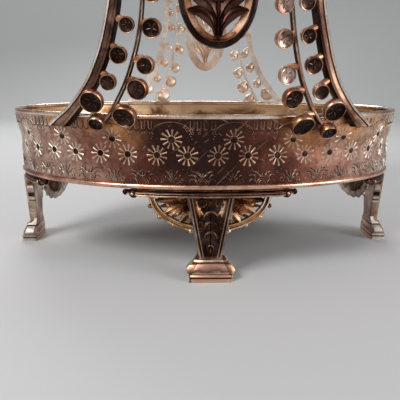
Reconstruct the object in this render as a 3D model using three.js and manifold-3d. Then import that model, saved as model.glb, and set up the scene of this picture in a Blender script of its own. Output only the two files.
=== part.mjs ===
// A silver-plated brides basket: an oval tray on four legs, two openwork supports rising from its
// front and back rim, a round ring that carries a lift-out glass bowl, and a swinging bail handle.
// Millimetres, +Z up, origin on the table under the middle of the tray. The front is towards -Y.
import * as THREE from 'three';
import { mergeVertices } from 'three/addons/utils/BufferGeometryUtils.js';
import Module from 'manifold-3d';

const wasm = await Module();
wasm.setup();

// Driving dimensions
const wallTop = 76;
const trayHalfWidth = 108;
const trayHalfDepth = 74.1;
const wallHeight = 29.1;
const bottomInset = 2.9;
const sheet = 1.2;
const beadRadius = 1.3;
const gap = 0.3;
const legInset = 1.6;
const supportOffset = 2.2;
const armWidth = 5.4;
const stemWidth = 1.4;
const cupDepth = 5;
const ringInner = 80;
const ringOuter = 88.5;
const ringBottom = 166;
const ringThickness = 3.5;
const bowlRimRadius = 112;
const bowlRimHeight = 203;
const pivotHeight = 168;
const bailTop = 322;

const wallBottom = wallTop - wallHeight;
const tau = 2 * Math.PI;

// Plated metal in its three states of wear, and the glass
const paleSilver = { color: 0xc9c2b8, roughness: 0.3, metalness: 1 };
const warmSilver = { color: 0xa8876f, roughness: 0.35, metalness: 1 };
const darkSilver = { color: 0x6a4a3c, roughness: 0.4, metalness: 1 };
const opalGlass = { color: 0xd9a7ae, roughness: 0.15, metalness: 0 };

const basket = new THREE.Group();

function addPiece(name, geometry, look) {
  const mesh = new THREE.Mesh(geometry, new THREE.MeshStandardMaterial(look));
  mesh.name = name;
  basket.add(mesh);
  return mesh;
}

// Solids from rings of points

// Joins rings of equally many points into one closed solid. A looped solid joins its last ring to
// its first, and any other one has a fan over each end.
function loft(rings, looped = false) {
  const count = rings[0].length;
  const positions = rings.flatMap((ring) => ring.flatMap((point) => point.toArray()));
  const triangles = [];
  const steps = looped ? rings.length : rings.length - 1;
  for (let step = 0; step < steps; step += 1) {
    const here = step * count;
    const there = ((step + 1) % rings.length) * count;
    for (let i = 0; i < count; i += 1) {
      const j = (i + 1) % count;
      triangles.push(here + i, here + j, there + j, here + i, there + j, there + i);
    }
  }
  if (!looped) {
    for (const last of [false, true]) {
      const ring = last ? rings[rings.length - 1] : rings[0];
      const base = last ? (rings.length - 1) * count : 0;
      const centre = ring.reduce((sum, point) => sum.add(point), new THREE.Vector3());
      const hub = positions.length / 3;
      positions.push(...centre.divideScalar(count).toArray());
      for (let i = 0; i < count; i += 1) {
        const j = (i + 1) % count;
        triangles.push(hub, base + (last ? i : j), base + (last ? j : i));
      }
    }
  }
  return facingOut(positions, triangles);
}

// Turns the triangles round if they enclose a negative volume
function facingOut(positions, triangles) {
  let volume = 0;
  const corner = (index) => new THREE.Vector3(...positions.slice(3 * index, 3 * index + 3));
  for (let i = 0; i < triangles.length; i += 3) {
    const [a, b, c] = [corner(triangles[i]), corner(triangles[i + 1]), corner(triangles[i + 2])];
    volume += a.dot(b.cross(c));
  }
  const geometry = new THREE.BufferGeometry();
  geometry.setAttribute('position', new THREE.Float32BufferAttribute(positions, 3));
  geometry.setIndex(volume < 0 ? triangles.reverse() : triangles);
  return geometry;
}

// A ring of points on an oval that is inset from the tray's outline
function ovalRing(inset, z, count) {
  return Array.from({ length: count }, (unused, i) => {
    const angle = tau * i / count;
    const x = (trayHalfWidth - inset) * Math.cos(angle);
    return new THREE.Vector3(x, (trayHalfDepth - inset) * Math.sin(angle), z);
  });
}

function circleRing(radius, z, count) {
  return Array.from({ length: count }, (unused, i) => {
    const angle = tau * i / count;
    return new THREE.Vector3(radius * Math.cos(angle), radius * Math.sin(angle), z);
  });
}

// Sweeps a section along a path. side and out give the section's two directions at a path point,
// and section lists its corners as [along side, along out].
function sweep(path, outAt, sectionAt, looped = false) {
  const rings = path.map((point, i) => {
    const before = looped ? path[(i + path.length - 1) % path.length] : path[Math.max(i - 1, 0)];
    const after = looped ? path[(i + 1) % path.length] : path[Math.min(i + 1, path.length - 1)];
    const along = after.clone().sub(before).normalize();
    const side = along.clone().cross(outAt(point)).normalize();
    const out = side.clone().cross(along).normalize();
    return sectionAt(i / (path.length - 1)).map(([s, o]) => point.clone()
      .addScaledVector(side, s).addScaledVector(out, o));
  });
  return loft(rings, looped);
}

function ovalSection(halfWidth, halfThickness, corners) {
  return Array.from({ length: corners }, (unused, i) => {
    const angle = tau * (i + 0.5) / corners;
    return [halfWidth * Math.cos(angle), halfThickness * Math.sin(angle)];
  });
}

function boxSection(halfWidth, halfThickness) {
  return [[-halfWidth, -halfThickness], [halfWidth, -halfThickness],
    [halfWidth, halfThickness], [-halfWidth, halfThickness]];
}

// A smooth path through [x, z] points of a support
function profileCurve(points, steps) {
  const curve = new THREE.CatmullRomCurve3(points.map(([x, z]) => new THREE.Vector3(x, 0, z)));
  return curve.getSpacedPoints(steps).map((point) => [point.x, point.z]);
}

// Solid joins and cuts

function toSolid(geometry) {
  const bare = geometry.clone();
  bare.deleteAttribute('normal');
  bare.deleteAttribute('uv');
  const merged = mergeVertices(bare, 1e-4);
  const vertProperties = new Float32Array(merged.attributes.position.array);
  const triVerts = new Uint32Array(merged.index.array);
  return new wasm.Manifold(new wasm.Mesh({ numProp: 3, vertProperties, triVerts }));
}

function toGeometry(solid) {
  const mesh = solid.getMesh();
  const geometry = new THREE.BufferGeometry();
  geometry.setAttribute('position', new THREE.BufferAttribute(mesh.vertProperties, 3));
  geometry.setIndex(new THREE.BufferAttribute(mesh.triVerts, 1));
  return geometry;
}

function joined(geometries) {
  const solids = geometries.map(toSolid);
  return toGeometry(solids.reduce((sum, solid) => sum.add(solid)));
}

function cutBy(geometry, cutters) {
  const solid = cutters.reduce((rest, cutter) => rest.subtract(toSolid(cutter)), toSolid(geometry));
  return toGeometry(solid);
}

// The tray

const trayCorners = 56;
const floorTop = wallBottom + 2;

// The wall from its top down, as [inset, drop]: it flares out under the rim
const wallProfile = [[0.2, 0], [0.7, 4], [1.8, 9], [2.8, 13.4], [2.5, 20], [bottomInset, wallHeight]];

function trayDish() {
  const rings = [];
  const innerFoot = bottomInset + sheet;
  rings.push(ovalRing(innerFoot + 6, floorTop, trayCorners));
  rings.push(ovalRing(innerFoot + 0.6, floorTop + 0.6, trayCorners));
  for (const [inset, drop] of wallProfile.slice(0, -1).reverse()) {
    rings.push(ovalRing(inset + sheet, wallTop - drop, trayCorners));
  }
  for (const [inset, drop] of wallProfile) {
    rings.push(ovalRing(inset, wallTop - drop, trayCorners));
  }
  rings.push(ovalRing(innerFoot + 4, floorTop - sheet, trayCorners));
  return loft(rings);
}

// A bead round the tray at one height, standing on its outline
function trayBead(inset, z, radius) {
  const path = ovalRing(inset + radius, z, trayCorners);
  return sweep(path, () => new THREE.Vector3(0, 0, 1), () => ovalSection(radius, radius, 6), true);
}

const rimBeadHeight = wallTop + gap + beadRadius;
const baseBeadHeight = wallBottom - gap - beadRadius;
addPiece('tray_dish', trayDish(), warmSilver);
addPiece('tray_rim_bead', trayBead(0, rimBeadHeight, beadRadius), paleSilver);
addPiece('tray_base_bead', trayBead(bottomInset - 1, baseBeadHeight, beadRadius), paleSilver);

// The legs

const legSpots = [
  { name: 'front', angle: -Math.PI / 2, reach: trayHalfDepth, fanInset: 10, fanDrop: 19.3 },
  { name: 'back', angle: Math.PI / 2, reach: trayHalfDepth, fanInset: 10, fanDrop: 19.3 },
  { name: 'left', angle: Math.PI, reach: trayHalfWidth, fanInset: 17, fanDrop: 13.4 },
  { name: 'right', angle: 0, reach: trayHalfWidth, fanInset: 17, fanDrop: 13.4 },
];
const corniceTop = baseBeadHeight - beadRadius - gap;
const corniceHeight = 3.4;
const corniceDepth = 4.5;
const corniceReach = 43;
const legTop = corniceTop - corniceHeight - gap;
const footHeight = 12;
const fanHalfWidth = 30;
const fanThickness = 1.6;

// The moulded bar under the tray's edge, following the outline for the leg's width
function legCornice(spot) {
  const path = [];
  const steps = 14;
  for (let i = 0; i <= steps; i += 1) {
    const reach = corniceReach * (2 * i / steps - 1);
    const turn = outlineAngleAt(spot, reach);
    const inset = bottomInset + corniceDepth / 2;
    const x = (trayHalfWidth - inset) * Math.cos(turn);
    const y = (trayHalfDepth - inset) * Math.sin(turn);
    path.push(new THREE.Vector3(x, y, corniceTop - corniceHeight / 2));
  }
  const corners = 8;
  const flat = 2 * Math.cos(Math.PI / corners);
  const smallest = 0.55;
  const section = (t) => {
    const end = Math.min(1, smallest + 3.6 * Math.min(t, 1 - t));
    return ovalSection(end * corniceDepth / flat, end * corniceHeight / flat, corners);
  };
  return sweep(path, () => new THREE.Vector3(0, 0, 1), section);
}

// The outline's own angle at a sideways reach from a leg's middle
function outlineAngleAt(spot, reach) {
  const across = spot.reach === trayHalfDepth ? trayHalfWidth : trayHalfDepth;
  return spot.angle + Math.asin(reach / (across - bottomInset));
}

// Puts a leg piece drawn at the origin, facing +X, under the tray
function underTray(mesh, spot, inset) {
  const radius = spot.reach - bottomInset - inset;
  mesh.position.set(radius * Math.cos(spot.angle), radius * Math.sin(spot.angle), 0);
  mesh.rotation.z = spot.angle;
}

// The half-round openwork fan behind the leg: a ridged plate with a window between its spokes
function legFan(fanDrop) {
  const plate = new THREE.Shape();
  const top = wallBottom - gap - 0.1;
  const spring = corniceTop - corniceHeight;
  plate.moveTo(-fanHalfWidth, top);
  plate.lineTo(-fanHalfWidth, spring);
  plate.absellipse(0, spring, fanHalfWidth, fanDrop, Math.PI, tau, false);
  plate.lineTo(fanHalfWidth, top);
  const spokes = 6;
  const hub = 0.34;
  const edge = 0.8;
  const half = 0.085;
  for (let i = 0; i < spokes; i += 1) {
    const middle = Math.PI + Math.PI * (i + 0.5) / spokes;
    const spread = Math.PI / spokes / 2 - half;
    const at = (scale, angle) => [
      scale * fanHalfWidth * Math.cos(angle), spring + scale * fanDrop * Math.sin(angle)];
    const window = new THREE.Path();
    window.moveTo(...at(hub, middle - spread));
    window.lineTo(...at(edge, middle - spread));
    window.lineTo(...at(edge + 0.03, middle));
    window.lineTo(...at(edge, middle + spread));
    window.lineTo(...at(hub, middle + spread));
    window.closePath();
    plate.holes.push(window);
  }
  return standUp(plate, fanThickness);
}

// A plate across a leg's +X, from an outline drawn in sideways and height
function standUp(outline, thickness) {
  const settings = { depth: thickness, bevelEnabled: false, curveSegments: 10 };
  const geometry = new THREE.ExtrudeGeometry(outline, settings);
  geometry.translate(0, 0, -thickness / 2);
  geometry.rotateX(Math.PI / 2);
  geometry.rotateZ(Math.PI / 2);
  return geometry;
}

// The tapered panel of the leg, with a raised rib down each edge and a stalk in the middle
function legPanel() {
  const topHalf = 11;
  const footHalf = 5.75;
  const front = 1;
  const thickness = 4;
  const ribHalf = 1.2;
  const low = footHeight + gap;
  const outline = new THREE.Shape();
  outline.moveTo(-footHalf, low);
  outline.lineTo(footHalf, low);
  outline.lineTo(topHalf, legTop);
  outline.lineTo(-topHalf, legTop);
  const outAt = () => new THREE.Vector3(1, 0, 0);
  const ribs = [-1, 1].map((side) => {
    const path = [new THREE.Vector3(ribHalf / 2, side * (footHalf - ribHalf), low),
      new THREE.Vector3(ribHalf / 2, side * (topHalf - ribHalf), legTop)];
    return sweep(path, outAt, () => boxSection(ribHalf, ribHalf));
  });
  const keel = [new THREE.Vector3(0.4, 0, low), new THREE.Vector3(0.4, 0, legTop)];
  const stalk = sweep(keel, outAt, () => boxSection(0.9, 1.1));
  const plate = standUp(outline, thickness).translate(front - thickness / 2, 0, 0);
  return joined([plate, ...ribs, stalk]);
}

// The bevelled foot block: [share of its height, half width, inner reach, outer reach]
const footLevels = [
  [1, 7.2, -4, 2.4], [0.75, 7.2, -4, 3], [0.46, 11.7, -3.8, 4.4], [0.25, 10, -3.2, 4.4],
  [0.22, 10.3, -3.4, 5.2], [0, 10.3, -3.4, 5.4],
];

function legFoot() {
  return loft(footLevels.map(([share, half, inner, outer]) => {
    const z = share * footHeight;
    return [new THREE.Vector3(inner, -half, z), new THREE.Vector3(outer, -half, z),
      new THREE.Vector3(outer, half, z), new THREE.Vector3(inner, half, z)];
  }));
}

for (const spot of legSpots) {
  addPiece(`leg_cornice_${spot.name}`, legCornice(spot), warmSilver);
  underTray(addPiece(`leg_fan_${spot.name}`, legFan(spot.fanDrop), warmSilver), spot, spot.fanInset);
  underTray(addPiece(`leg_panel_${spot.name}`, legPanel(), warmSilver), spot, legInset);
  underTray(addPiece(`leg_foot_${spot.name}`, legFoot(), paleSilver), spot, legInset - 0.6);
}

// The two supports

const supportWidth = trayHalfWidth + supportOffset;
const supportDepth = trayHalfDepth + supportOffset;

// Each support has its cups' size against the front ones, and at heights its own size, its lean to
// the right and how much higher its cups stand
const sides = [
  {
    name: 'front',
    sign: -1,
    cupSize: 1,
    size: [[74, 1], [ringBottom, 1]],
    lean: [[74, 0.4], [110, 1.8], [130, 1.8], [ringBottom, 0]],
    rise: [[74, 0], [ringBottom, 0]],
  },
  {
    name: 'back',
    sign: 1,
    cupSize: 1.1,
    size: [[78, 0.82], [90, 0.78], [98, 0.745], [112, 0.7], [130, 0.67], [141, 0.63], [151, 0.57],
      [ringBottom, 0.62]],
    lean: [[74, 3.2], [130, 3.2], [ringBottom, 0]],
    rise: [[74, 0], [75, 5], [88, 2.5], [100, 2], [113, -0.5], [130, 0]],
  },
];
const hands = [{ name: 'left', sign: -1 }, { name: 'right', sign: 1 }];

// Reads a table of [height, value] pairs between its entries
function valueAt(table, z) {
  const next = table.findIndex(([height]) => height >= z);
  if (next <= 0) {
    return table[next === 0 ? 0 : table.length - 1][1];
  }
  const [[low, here], [high, there]] = [table[next - 1], table[next]];
  return here + (there - here) * (z - low) / (high - low);
}

// A support is drawn flat, in x and z, and wrapped on an oval just outside the tray's rim
function onOval(sign, x, z, out = 0) {
  const spot = new THREE.Vector3(x, sign * supportDepth * Math.sqrt(1 - (x / supportWidth) ** 2), z);
  return spot.addScaledVector(outwards(spot), out);
}

function onSupport(side, hand, x, z, out = 0) {
  return onOval(side.sign, hand.sign * valueAt(side.size, z) * x + valueAt(side.lean, z), z, out);
}

function outwards(point) {
  return new THREE.Vector3(point.x / supportWidth ** 2, point.y / supportDepth ** 2, 0).normalize();
}

// The middles of the right arm and stem from their toes up, as [x, z]
const armLine = [[73.6, 70.8], [70.2, 74], [66.6, 77.2], [62.8, 81], [58.2, 86.5], [54.2, 92.5],
  [51.6, 98], [49, 104.5], [47, 111], [44.9, 119.5], [43.5, 127], [43, 136], [44.6, 147],
  [48.6, 157], [54.4, 168]];
const stemLine = [[49.4, 74.6], [46.9, 77.3], [44.3, 81], [42.3, 85], [39.8, 90], [37.6, 95.5],
  [35.9, 101], [34.5, 106], [33.2, 112], [32.1, 118.5], [31.3, 126], [31.3, 133], [32.4, 141],
  [35, 147.5], [38.9, 153], [43.2, 156.2]];
const armFoot = 72.6;
const slabDepth = 20;
const armBack = -1.5;
const armEdge = 1.6;
const armCrest = 2.9;
const stemBack = -0.6;
const stemCrest = 2.6;

// The flower cups as [x, z, radius] of their open faces: the outer ones grow from the arm, the
// inner ones and the end one from the stem
const outerCups = [[53.4, 81.8, 5.5], [45.9, 90.4, 3.7], [41.4, 101.8, 3.9], [37.8, 114, 3.4],
  [36.6, 127.5, 3.4], [37.8, 137, 3], [40, 145, 2.4]];
const innerCups = [[38.8, 75.4, 5.6], [33.5, 87.5, 4.8], [30.2, 97.5, 3.9], [27.7, 112.5, 4.1],
  [27.2, 126.5, 4], [28.4, 139.5, 3.8]];
const endCup = [51.2, 72.2, 3.8];

// The cups stand a little higher on the left than on the right
const cupLift = 1.95;
const cupSpread = 0.4;
const cupFace = 4.2;
const neckHalf = 0.9;

// Half a cup from its back outwards, as shares of its face's radius and of its depth
const cupProfile = [[0, 0], [0.8, 0.12], [0.98, 0.5], [0.97, 1], [0.76, 0.82], [0, 0.74]];

function supportArm(side, hand) {
  const path = profileCurve(armLine, 18).map(([x, z]) => onSupport(side, hand, x, z));
  const section = (t) => {
    const z = path[Math.round(t * (path.length - 1))].z;
    const flare = Math.max(1, 1.5 - 4 * t);
    const half = armWidth / 2 * valueAt(side.size, z) * flare;
    const crest = 0.55 * half;
    return [[-half, armBack], [half, armBack], [half, armEdge], [crest, armCrest],
      [-crest, armCrest], [-half, armEdge]];
  };
  const arm = sweep(path, outwards, section);
  const cups = outerCups.flatMap((cup) => cupOnLine(side, hand, cup, armLine));
  return joined([cutBy(arm, [slab(ringBottom - gap, slabDepth), slab(armFoot, -slabDepth)]), ...cups]);
}

// A slab from a height upwards or, with a negative depth, downwards, to cut with
function slab(z, depth) {
  const block = new THREE.BoxGeometry(4 * trayHalfWidth, 4 * trayHalfWidth, Math.abs(depth));
  return block.translate(0, 0, z + depth / 2);
}

// The way a cup faces: outwards and down, and higher up a little towards its stem
function cupAxis(out, z, inwards) {
  const tilt = valueAt([[72, 0.75], [78, 0.6], [90, 0.3], [112, 0.25], [150, 0.2]], z);
  const turn = valueAt([[78, 0.1], [90, 0.55]], z);
  const sideways = new THREE.Vector3(0, 0, -1).addScaledVector(inwards, turn).normalize();
  return out.clone().multiplyScalar(Math.cos(tilt)).addScaledVector(sideways, Math.sin(tilt));
}

// The point of a line that has the smallest distance by the measure given
function nearestOn(line, distance) {
  const points = profileCurve(line, 40);
  return points.reduce((best, point) => (distance(point) < distance(best) ? point : best));
}

// A bell-shaped cup and the neck that joins its back to the line that it grows from
function cupOnLine(side, hand, [flatX, flatZ, size], line) {
  const x = flatX + hand.sign * cupSpread;
  const z = flatZ - hand.sign * cupLift + valueAt(side.rise, flatZ);
  const radius = size * side.cupSize * valueAt(side.size, z);
  const face = onSupport(side, hand, x, z, cupFace);
  const [stemX] = nearestOn(stemLine, ([, stemZ]) => Math.abs(stemZ - z));
  const inwards = onSupport(side, hand, stemX, z).sub(onSupport(side, hand, x, z)).normalize();
  const axis = cupAxis(outwards(face), z, inwards);
  const back = face.clone().addScaledVector(axis, -cupDepth);
  const profile = cupProfile.map(([r, h]) => new THREE.Vector2(r * radius, h * cupDepth));
  const cup = new THREE.LatheGeometry(profile, 8);
  cup.applyQuaternion(new THREE.Quaternion().setFromUnitVectors(new THREE.Vector3(0, 1, 0), axis));
  cup.translate(back.x, back.y, back.z);
  const nearest = nearestOn(line, ([lineX, lineZ]) => Math.hypot(lineX - x, lineZ - z));
  const root = onSupport(side, hand, ...nearest, neckHalf);
  const end = back.addScaledVector(axis, neckHalf);
  const neck = sweep([root, end], outwards, () => boxSection(neckHalf, neckHalf));
  return [closedLathe(cup), neck];
}

// A lathe's seam and poles merged, so that it's one closed surface
function closedLathe(geometry) {
  const bare = geometry.clone();
  bare.deleteAttribute('normal');
  bare.deleteAttribute('uv');
  const merged = mergeVertices(bare, 1e-4);
  const triangles = [];
  const index = merged.index.array;
  for (let i = 0; i < index.length; i += 3) {
    const corners = [index[i], index[i + 1], index[i + 2]];
    if (new Set(corners).size === 3) {
      triangles.push(...corners);
    }
  }
  return facingOut([...merged.attributes.position.array], triangles);
}

// The stem, a strip on edge, with its own cups
function flowerStem(side, hand) {
  const path = profileCurve(stemLine, 20).map(([x, z]) => onSupport(side, hand, x, z));
  const stem = sweep(path, outwards, (t) => {
    const half = stemWidth / 2 * valueAt(side.size, path[Math.round(t * (path.length - 1))].z);
    return [[-half, stemBack], [half, stemBack], [half, stemCrest], [-half, stemCrest]];
  });
  const cups = [...innerCups, endCup].flatMap((cup) => cupOnLine(side, hand, cup, stemLine));
  return joined([stem, ...cups]);
}

// The openwork medallion between the stems, with a leaf in it
const medallions = {
  front: { x: 2, z: 130, halfWidth: 17, halfDrop: 23.4 },
  back: { x: 2.6, z: 126.7, halfWidth: 14.6, halfDrop: 26.6 },
};
const medallionBand = 3.6;
const medallionHalfDepth = 1.6;

function medallionRing(side) {
  const steps = 28;
  const corners = 6;
  const halfBand = medallionBand / 2;
  const medallion = medallions[side.name];
  const path = Array.from({ length: steps }, (unused, i) => {
    const angle = tau * i / steps;
    const x = medallion.x + (medallion.halfWidth - halfBand) * Math.cos(angle);
    const z = medallion.z + (medallion.halfDrop - halfBand) * Math.sin(angle);
    return onOval(side.sign, x, z);
  });
  const halfWidth = halfBand / Math.cos(Math.PI / corners);
  return sweep(path, outwards, () => ovalSection(halfWidth, medallionHalfDepth, corners), true);
}

// The leaf's right edge from its tip up, as shares of the medallion's half width and half drop
const leafEdge = [[0.09, -0.82], [0.16, -0.68], [0.4, -0.5], [0.66, -0.34], [0.62, -0.16], [0.7, 0.08],
  [0.45, 0.16], [0.58, 0.42], [0.28, 0.46], [0.14, 0.66], [0.09, 0.82]];

function medallionLeaf(side) {
  const medallion = medallions[side.name];
  const thickness = 1.8;
  const outline = new THREE.Shape();
  outline.setFromPoints([...leafEdge, ...leafEdge.map(([x, z]) => [-x, z]).reverse()]
    .map(([x, z]) => new THREE.Vector2(x * medallion.halfWidth, z * medallion.halfDrop)));
  const geometry = new THREE.ExtrudeGeometry(outline, { depth: thickness, bevelEnabled: false });
  geometry.translate(0, 0, -thickness / 2);
  geometry.rotateX(Math.PI / 2);
  geometry.translate(medallion.x, side.sign * supportDepth, medallion.z);
  return geometry;
}

// The scrolled bar over the medallion, from stem to stem
function medallionYoke(side) {
  const low = 148.6;
  const rise = 7.6;
  const reach = 33.5;
  const steps = 14;
  const path = Array.from({ length: steps + 1 }, (unused, i) => {
    const t = 2 * i / steps - 1;
    const z = low + rise * Math.cos(t * Math.PI / 2) ** 0.8;
    return onOval(side.sign, reach * valueAt(side.size, low) * t + valueAt(side.lean, z), z);
  });
  return sweep(path, outwards, () => ovalSection(1.5, 1.5, 6));
}

for (const side of sides) {
  for (const hand of hands) {
    addPiece(`support_arm_${side.name}_${hand.name}`, supportArm(side, hand), darkSilver);
    addPiece(`flower_stem_${side.name}_${hand.name}`, flowerStem(side, hand), darkSilver);
  }
  addPiece(`medallion_ring_${side.name}`, medallionRing(side), darkSilver);
  addPiece(`medallion_leaf_${side.name}`, medallionLeaf(side), warmSilver);
  addPiece(`medallion_yoke_${side.name}`, medallionYoke(side), darkSilver);
}

// The bowl's ring, its lugs and the bail

const ringCorners = 56;
const ringTop = ringBottom + ringThickness;
const lugInner = ringOuter + gap;
const lugThickness = 3.4;
const pinRadius = 1.7;
const pinClearance = 0.3;
const eyeRadius = 6;
const eyeInner = lugInner + lugThickness + gap;
const eyeThickness = 3.2;

function bowlRing() {
  const section = [[ringInner, ringBottom], [ringOuter, ringBottom],
    [ringOuter, ringTop], [ringInner, ringTop]];
  return loft(section.map(([radius, z]) => circleRing(radius, z, ringCorners)), true);
}

// A plate standing across X: outline in y and z, from x = inner outwards, with a round hole
function plateAcrossX(outline, inner, thickness, hand) {
  const settings = { depth: thickness, bevelEnabled: false, curveSegments: 10 };
  const geometry = new THREE.ExtrudeGeometry(outline, settings);
  geometry.rotateX(Math.PI / 2);
  geometry.rotateZ(Math.PI / 2);
  const start = hand > 0 ? inner : -inner - thickness;
  geometry.translate(start, 0, 0);
  return geometry;
}

function roundHole(radius) {
  const hole = new THREE.Path();
  hole.absarc(0, pivotHeight, radius, 0, tau, true);
  return hole;
}

function handleLug(hand) {
  const halfWidth = 6.5;
  const lugBottom = ringBottom - 6;
  const outline = new THREE.Shape();
  outline.moveTo(-halfWidth, lugBottom);
  outline.lineTo(halfWidth, lugBottom);
  outline.lineTo(halfWidth, pivotHeight);
  outline.absarc(0, pivotHeight, halfWidth, 0, Math.PI, false);
  outline.holes.push(roundHole(pinRadius + pinClearance));
  return plateAcrossX(outline, lugInner, lugThickness, hand);
}

// A pin riveted into the lug, with a head outside the bail's eye
function pivotPin(hand) {
  const headRadius = 3.2;
  const headDepth = 1.4;
  const shank = lugThickness + gap + eyeThickness + gap;
  const profile = [[0, 0], [pinRadius, 0], [pinRadius, shank], [headRadius, shank],
    [headRadius, shank + headDepth], [0, shank + headDepth]].map(([r, h]) => new THREE.Vector2(r, h));
  const pin = new THREE.LatheGeometry(profile, 12);
  pin.rotateZ(-hand * Math.PI / 2);
  pin.translate(hand * lugInner, 0, pivotHeight);
  return closedLathe(pin);
}

// The bail's right half from its eye up to the middle, as [x, z]
const bailX = eyeInner + eyeThickness / 2;
const bailLine = [[bailX, pivotHeight + 4.4], [bailX + 3.4, 177.5], [108, 185.5], [119, 196], [125, 208],
  [128, 228], [123, 254], [108, 280], [82, 302], [45, 317], [0, bailTop]];

function bailHandle() {
  const right = bailLine.map(([x, z]) => new THREE.Vector3(x, 0, z));
  const left = bailLine.slice(0, -1).reverse().map(([x, z]) => new THREE.Vector3(-x, 0, z));
  const path = new THREE.CatmullRomCurve3([...right, ...left]).getSpacedPoints(44);
  const bar = sweep(path, () => new THREE.Vector3(0, 1, 0), () => ovalSection(1.9, 3.2, 6));
  const eyes = [-1, 1].map((hand) => {
    const outline = new THREE.Shape();
    outline.absarc(0, pivotHeight, eyeRadius, 0, tau, false);
    return plateAcrossX(outline, eyeInner, eyeThickness, hand);
  });
  const bores = [-1, 1].map((hand) => {
    const outline = new THREE.Shape();
    outline.absarc(0, pivotHeight, pinRadius + pinClearance, 0, tau, false);
    return plateAcrossX(outline, eyeInner - eyeThickness, 3 * eyeThickness, hand);
  });
  return cutBy(joined([bar, ...eyes]), bores);
}

addPiece('bowl_ring', bowlRing(), paleSilver);
for (const { name, sign } of hands) {
  addPiece(`handle_lug_${name}`, handleLug(sign), paleSilver);
  addPiece(`pivot_pin_${name}`, pivotPin(sign), paleSilver);
}
addPiece('bail_handle', bailHandle(), paleSilver);

// The glass bowl: it drops through the ring and flares above it into a ruffled rim

const glass = 2.6;
const ruffles = 12;
const ruffleDepth = 3.4;
const bowlCorners = 48;
const bowlProfile = [[34, 152], [58, 155.5], [73, 162], [79.2, ringTop + gap], [85, 175.5],
  [98, 187], [bowlRimRadius, bowlRimHeight]];

function bowlLevel(radius, z, share) {
  return Array.from({ length: bowlCorners }, (unused, i) => {
    const angle = tau * i / bowlCorners;
    const wave = share * ruffleDepth * Math.cos(ruffles * angle);
    const r = radius + 0.5 * wave;
    return new THREE.Vector3(r * Math.cos(angle), r * Math.sin(angle), z + wave);
  });
}

function glassBowl() {
  const ruffleShare = (z) => Math.max(0, (z - 178) / (bowlRimHeight - 178)) ** 1.5;
  const outside = bowlProfile.map(([r, z]) => bowlLevel(r, z, ruffleShare(z)));
  const inside = bowlProfile.slice(1).reverse()
    .map(([r, z]) => bowlLevel(r - glass * 0.8, z + glass * 0.8 * (z < bowlRimHeight), ruffleShare(z)));
  inside[inside.length - 1] = bowlLevel(33, 152 + glass + 0.6, 0);
  return loft([...outside, ...inside]);
}

addPiece('glass_bowl', glassBowl(), opalGlass);

export default basket;
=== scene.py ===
# A silver-plated brides basket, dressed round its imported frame.
# Lengths are millimetres until a mesh, a lamp or the camera is made. The front is towards -Y.
import math
from bisect import bisect
from dataclasses import dataclass
from math import cos, hypot, pi, sin

import bmesh
import bpy
from mathutils import Matrix, Vector


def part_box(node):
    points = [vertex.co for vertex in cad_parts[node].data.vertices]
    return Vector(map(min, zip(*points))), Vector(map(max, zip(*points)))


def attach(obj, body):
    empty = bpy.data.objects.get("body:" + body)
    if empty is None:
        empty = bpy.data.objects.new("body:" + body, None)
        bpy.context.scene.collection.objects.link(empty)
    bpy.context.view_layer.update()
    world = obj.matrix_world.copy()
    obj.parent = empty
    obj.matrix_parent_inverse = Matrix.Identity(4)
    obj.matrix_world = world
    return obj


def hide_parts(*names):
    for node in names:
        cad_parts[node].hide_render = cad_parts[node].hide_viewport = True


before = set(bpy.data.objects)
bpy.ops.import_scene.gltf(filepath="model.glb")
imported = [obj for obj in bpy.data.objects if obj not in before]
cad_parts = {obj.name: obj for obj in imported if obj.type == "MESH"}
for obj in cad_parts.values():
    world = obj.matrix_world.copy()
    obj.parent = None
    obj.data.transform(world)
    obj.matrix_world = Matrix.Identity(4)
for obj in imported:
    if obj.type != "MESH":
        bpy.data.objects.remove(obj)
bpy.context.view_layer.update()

MM = 0.001
TAU = 2 * pi
UP = Vector((0, 0, 1))
OUT = Vector((1, 0, 0))
HANDS = (("left", -1), ("right", 1))


def node_box(node):
    """The lowest and highest corner of a CAD node, in millimetres."""
    low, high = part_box(node)
    return Vector(low) / MM, Vector(high) / MM


def middle_height(node):
    low, high = node_box(node)
    return (low.z + high.z) / 2


# Driving dimensions
TRAY_HALF_WIDTH = 108
TRAY_HALF_DEPTH = 74.1
BEAD_RADIUS = 1.3
BOTTOM_INSET = 2.9
SHEET = 1.2
RIM_BEAD_HEIGHT = middle_height("tray_rim_bead")
BASE_BEAD_HEIGHT = middle_height("tray_base_bead")
WALL_TOP = RIM_BEAD_HEIGHT - BEAD_RADIUS
WALL_BOTTOM = BASE_BEAD_HEIGHT + BEAD_RADIUS
SUPPORT_GAP = 2.2
SUPPORT_HALF_WIDTH = TRAY_HALF_WIDTH + SUPPORT_GAP
SUPPORT_HALF_DEPTH = TRAY_HALF_DEPTH + SUPPORT_GAP
RING_BOTTOM = node_box("bowl_ring")[0].z
LEG_TOP = node_box("leg_panel_front")[1].z
FOOT_TOP = node_box("leg_foot_front")[1].z

# Points closer than this are one point, and a lathe's ends are this wide
WELD = 0.005
LATHE_TIP = 0.01


# Lines

def spread(start, end, steps):
    """Evenly spaced values from start to end."""
    return [start + (end - start) * k / steps for k in range(steps + 1)]


def full_turn(count):
    """Evenly spaced angles round a full turn."""
    return [TAU * k / count for k in range(count)]


def ellipse(u, v, half_u, half_v, count):
    """Points round an ellipse with its middle at (u, v)."""
    return [(u + half_u * cos(t), v + half_v * sin(t)) for t in full_turn(count)]


def polar(middle, radius, angle):
    return (middle[0] + radius * cos(angle), middle[1] + radius * sin(angle))


def circle(radius, count=10):
    return ellipse(0, 0, radius, radius, count)


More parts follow.
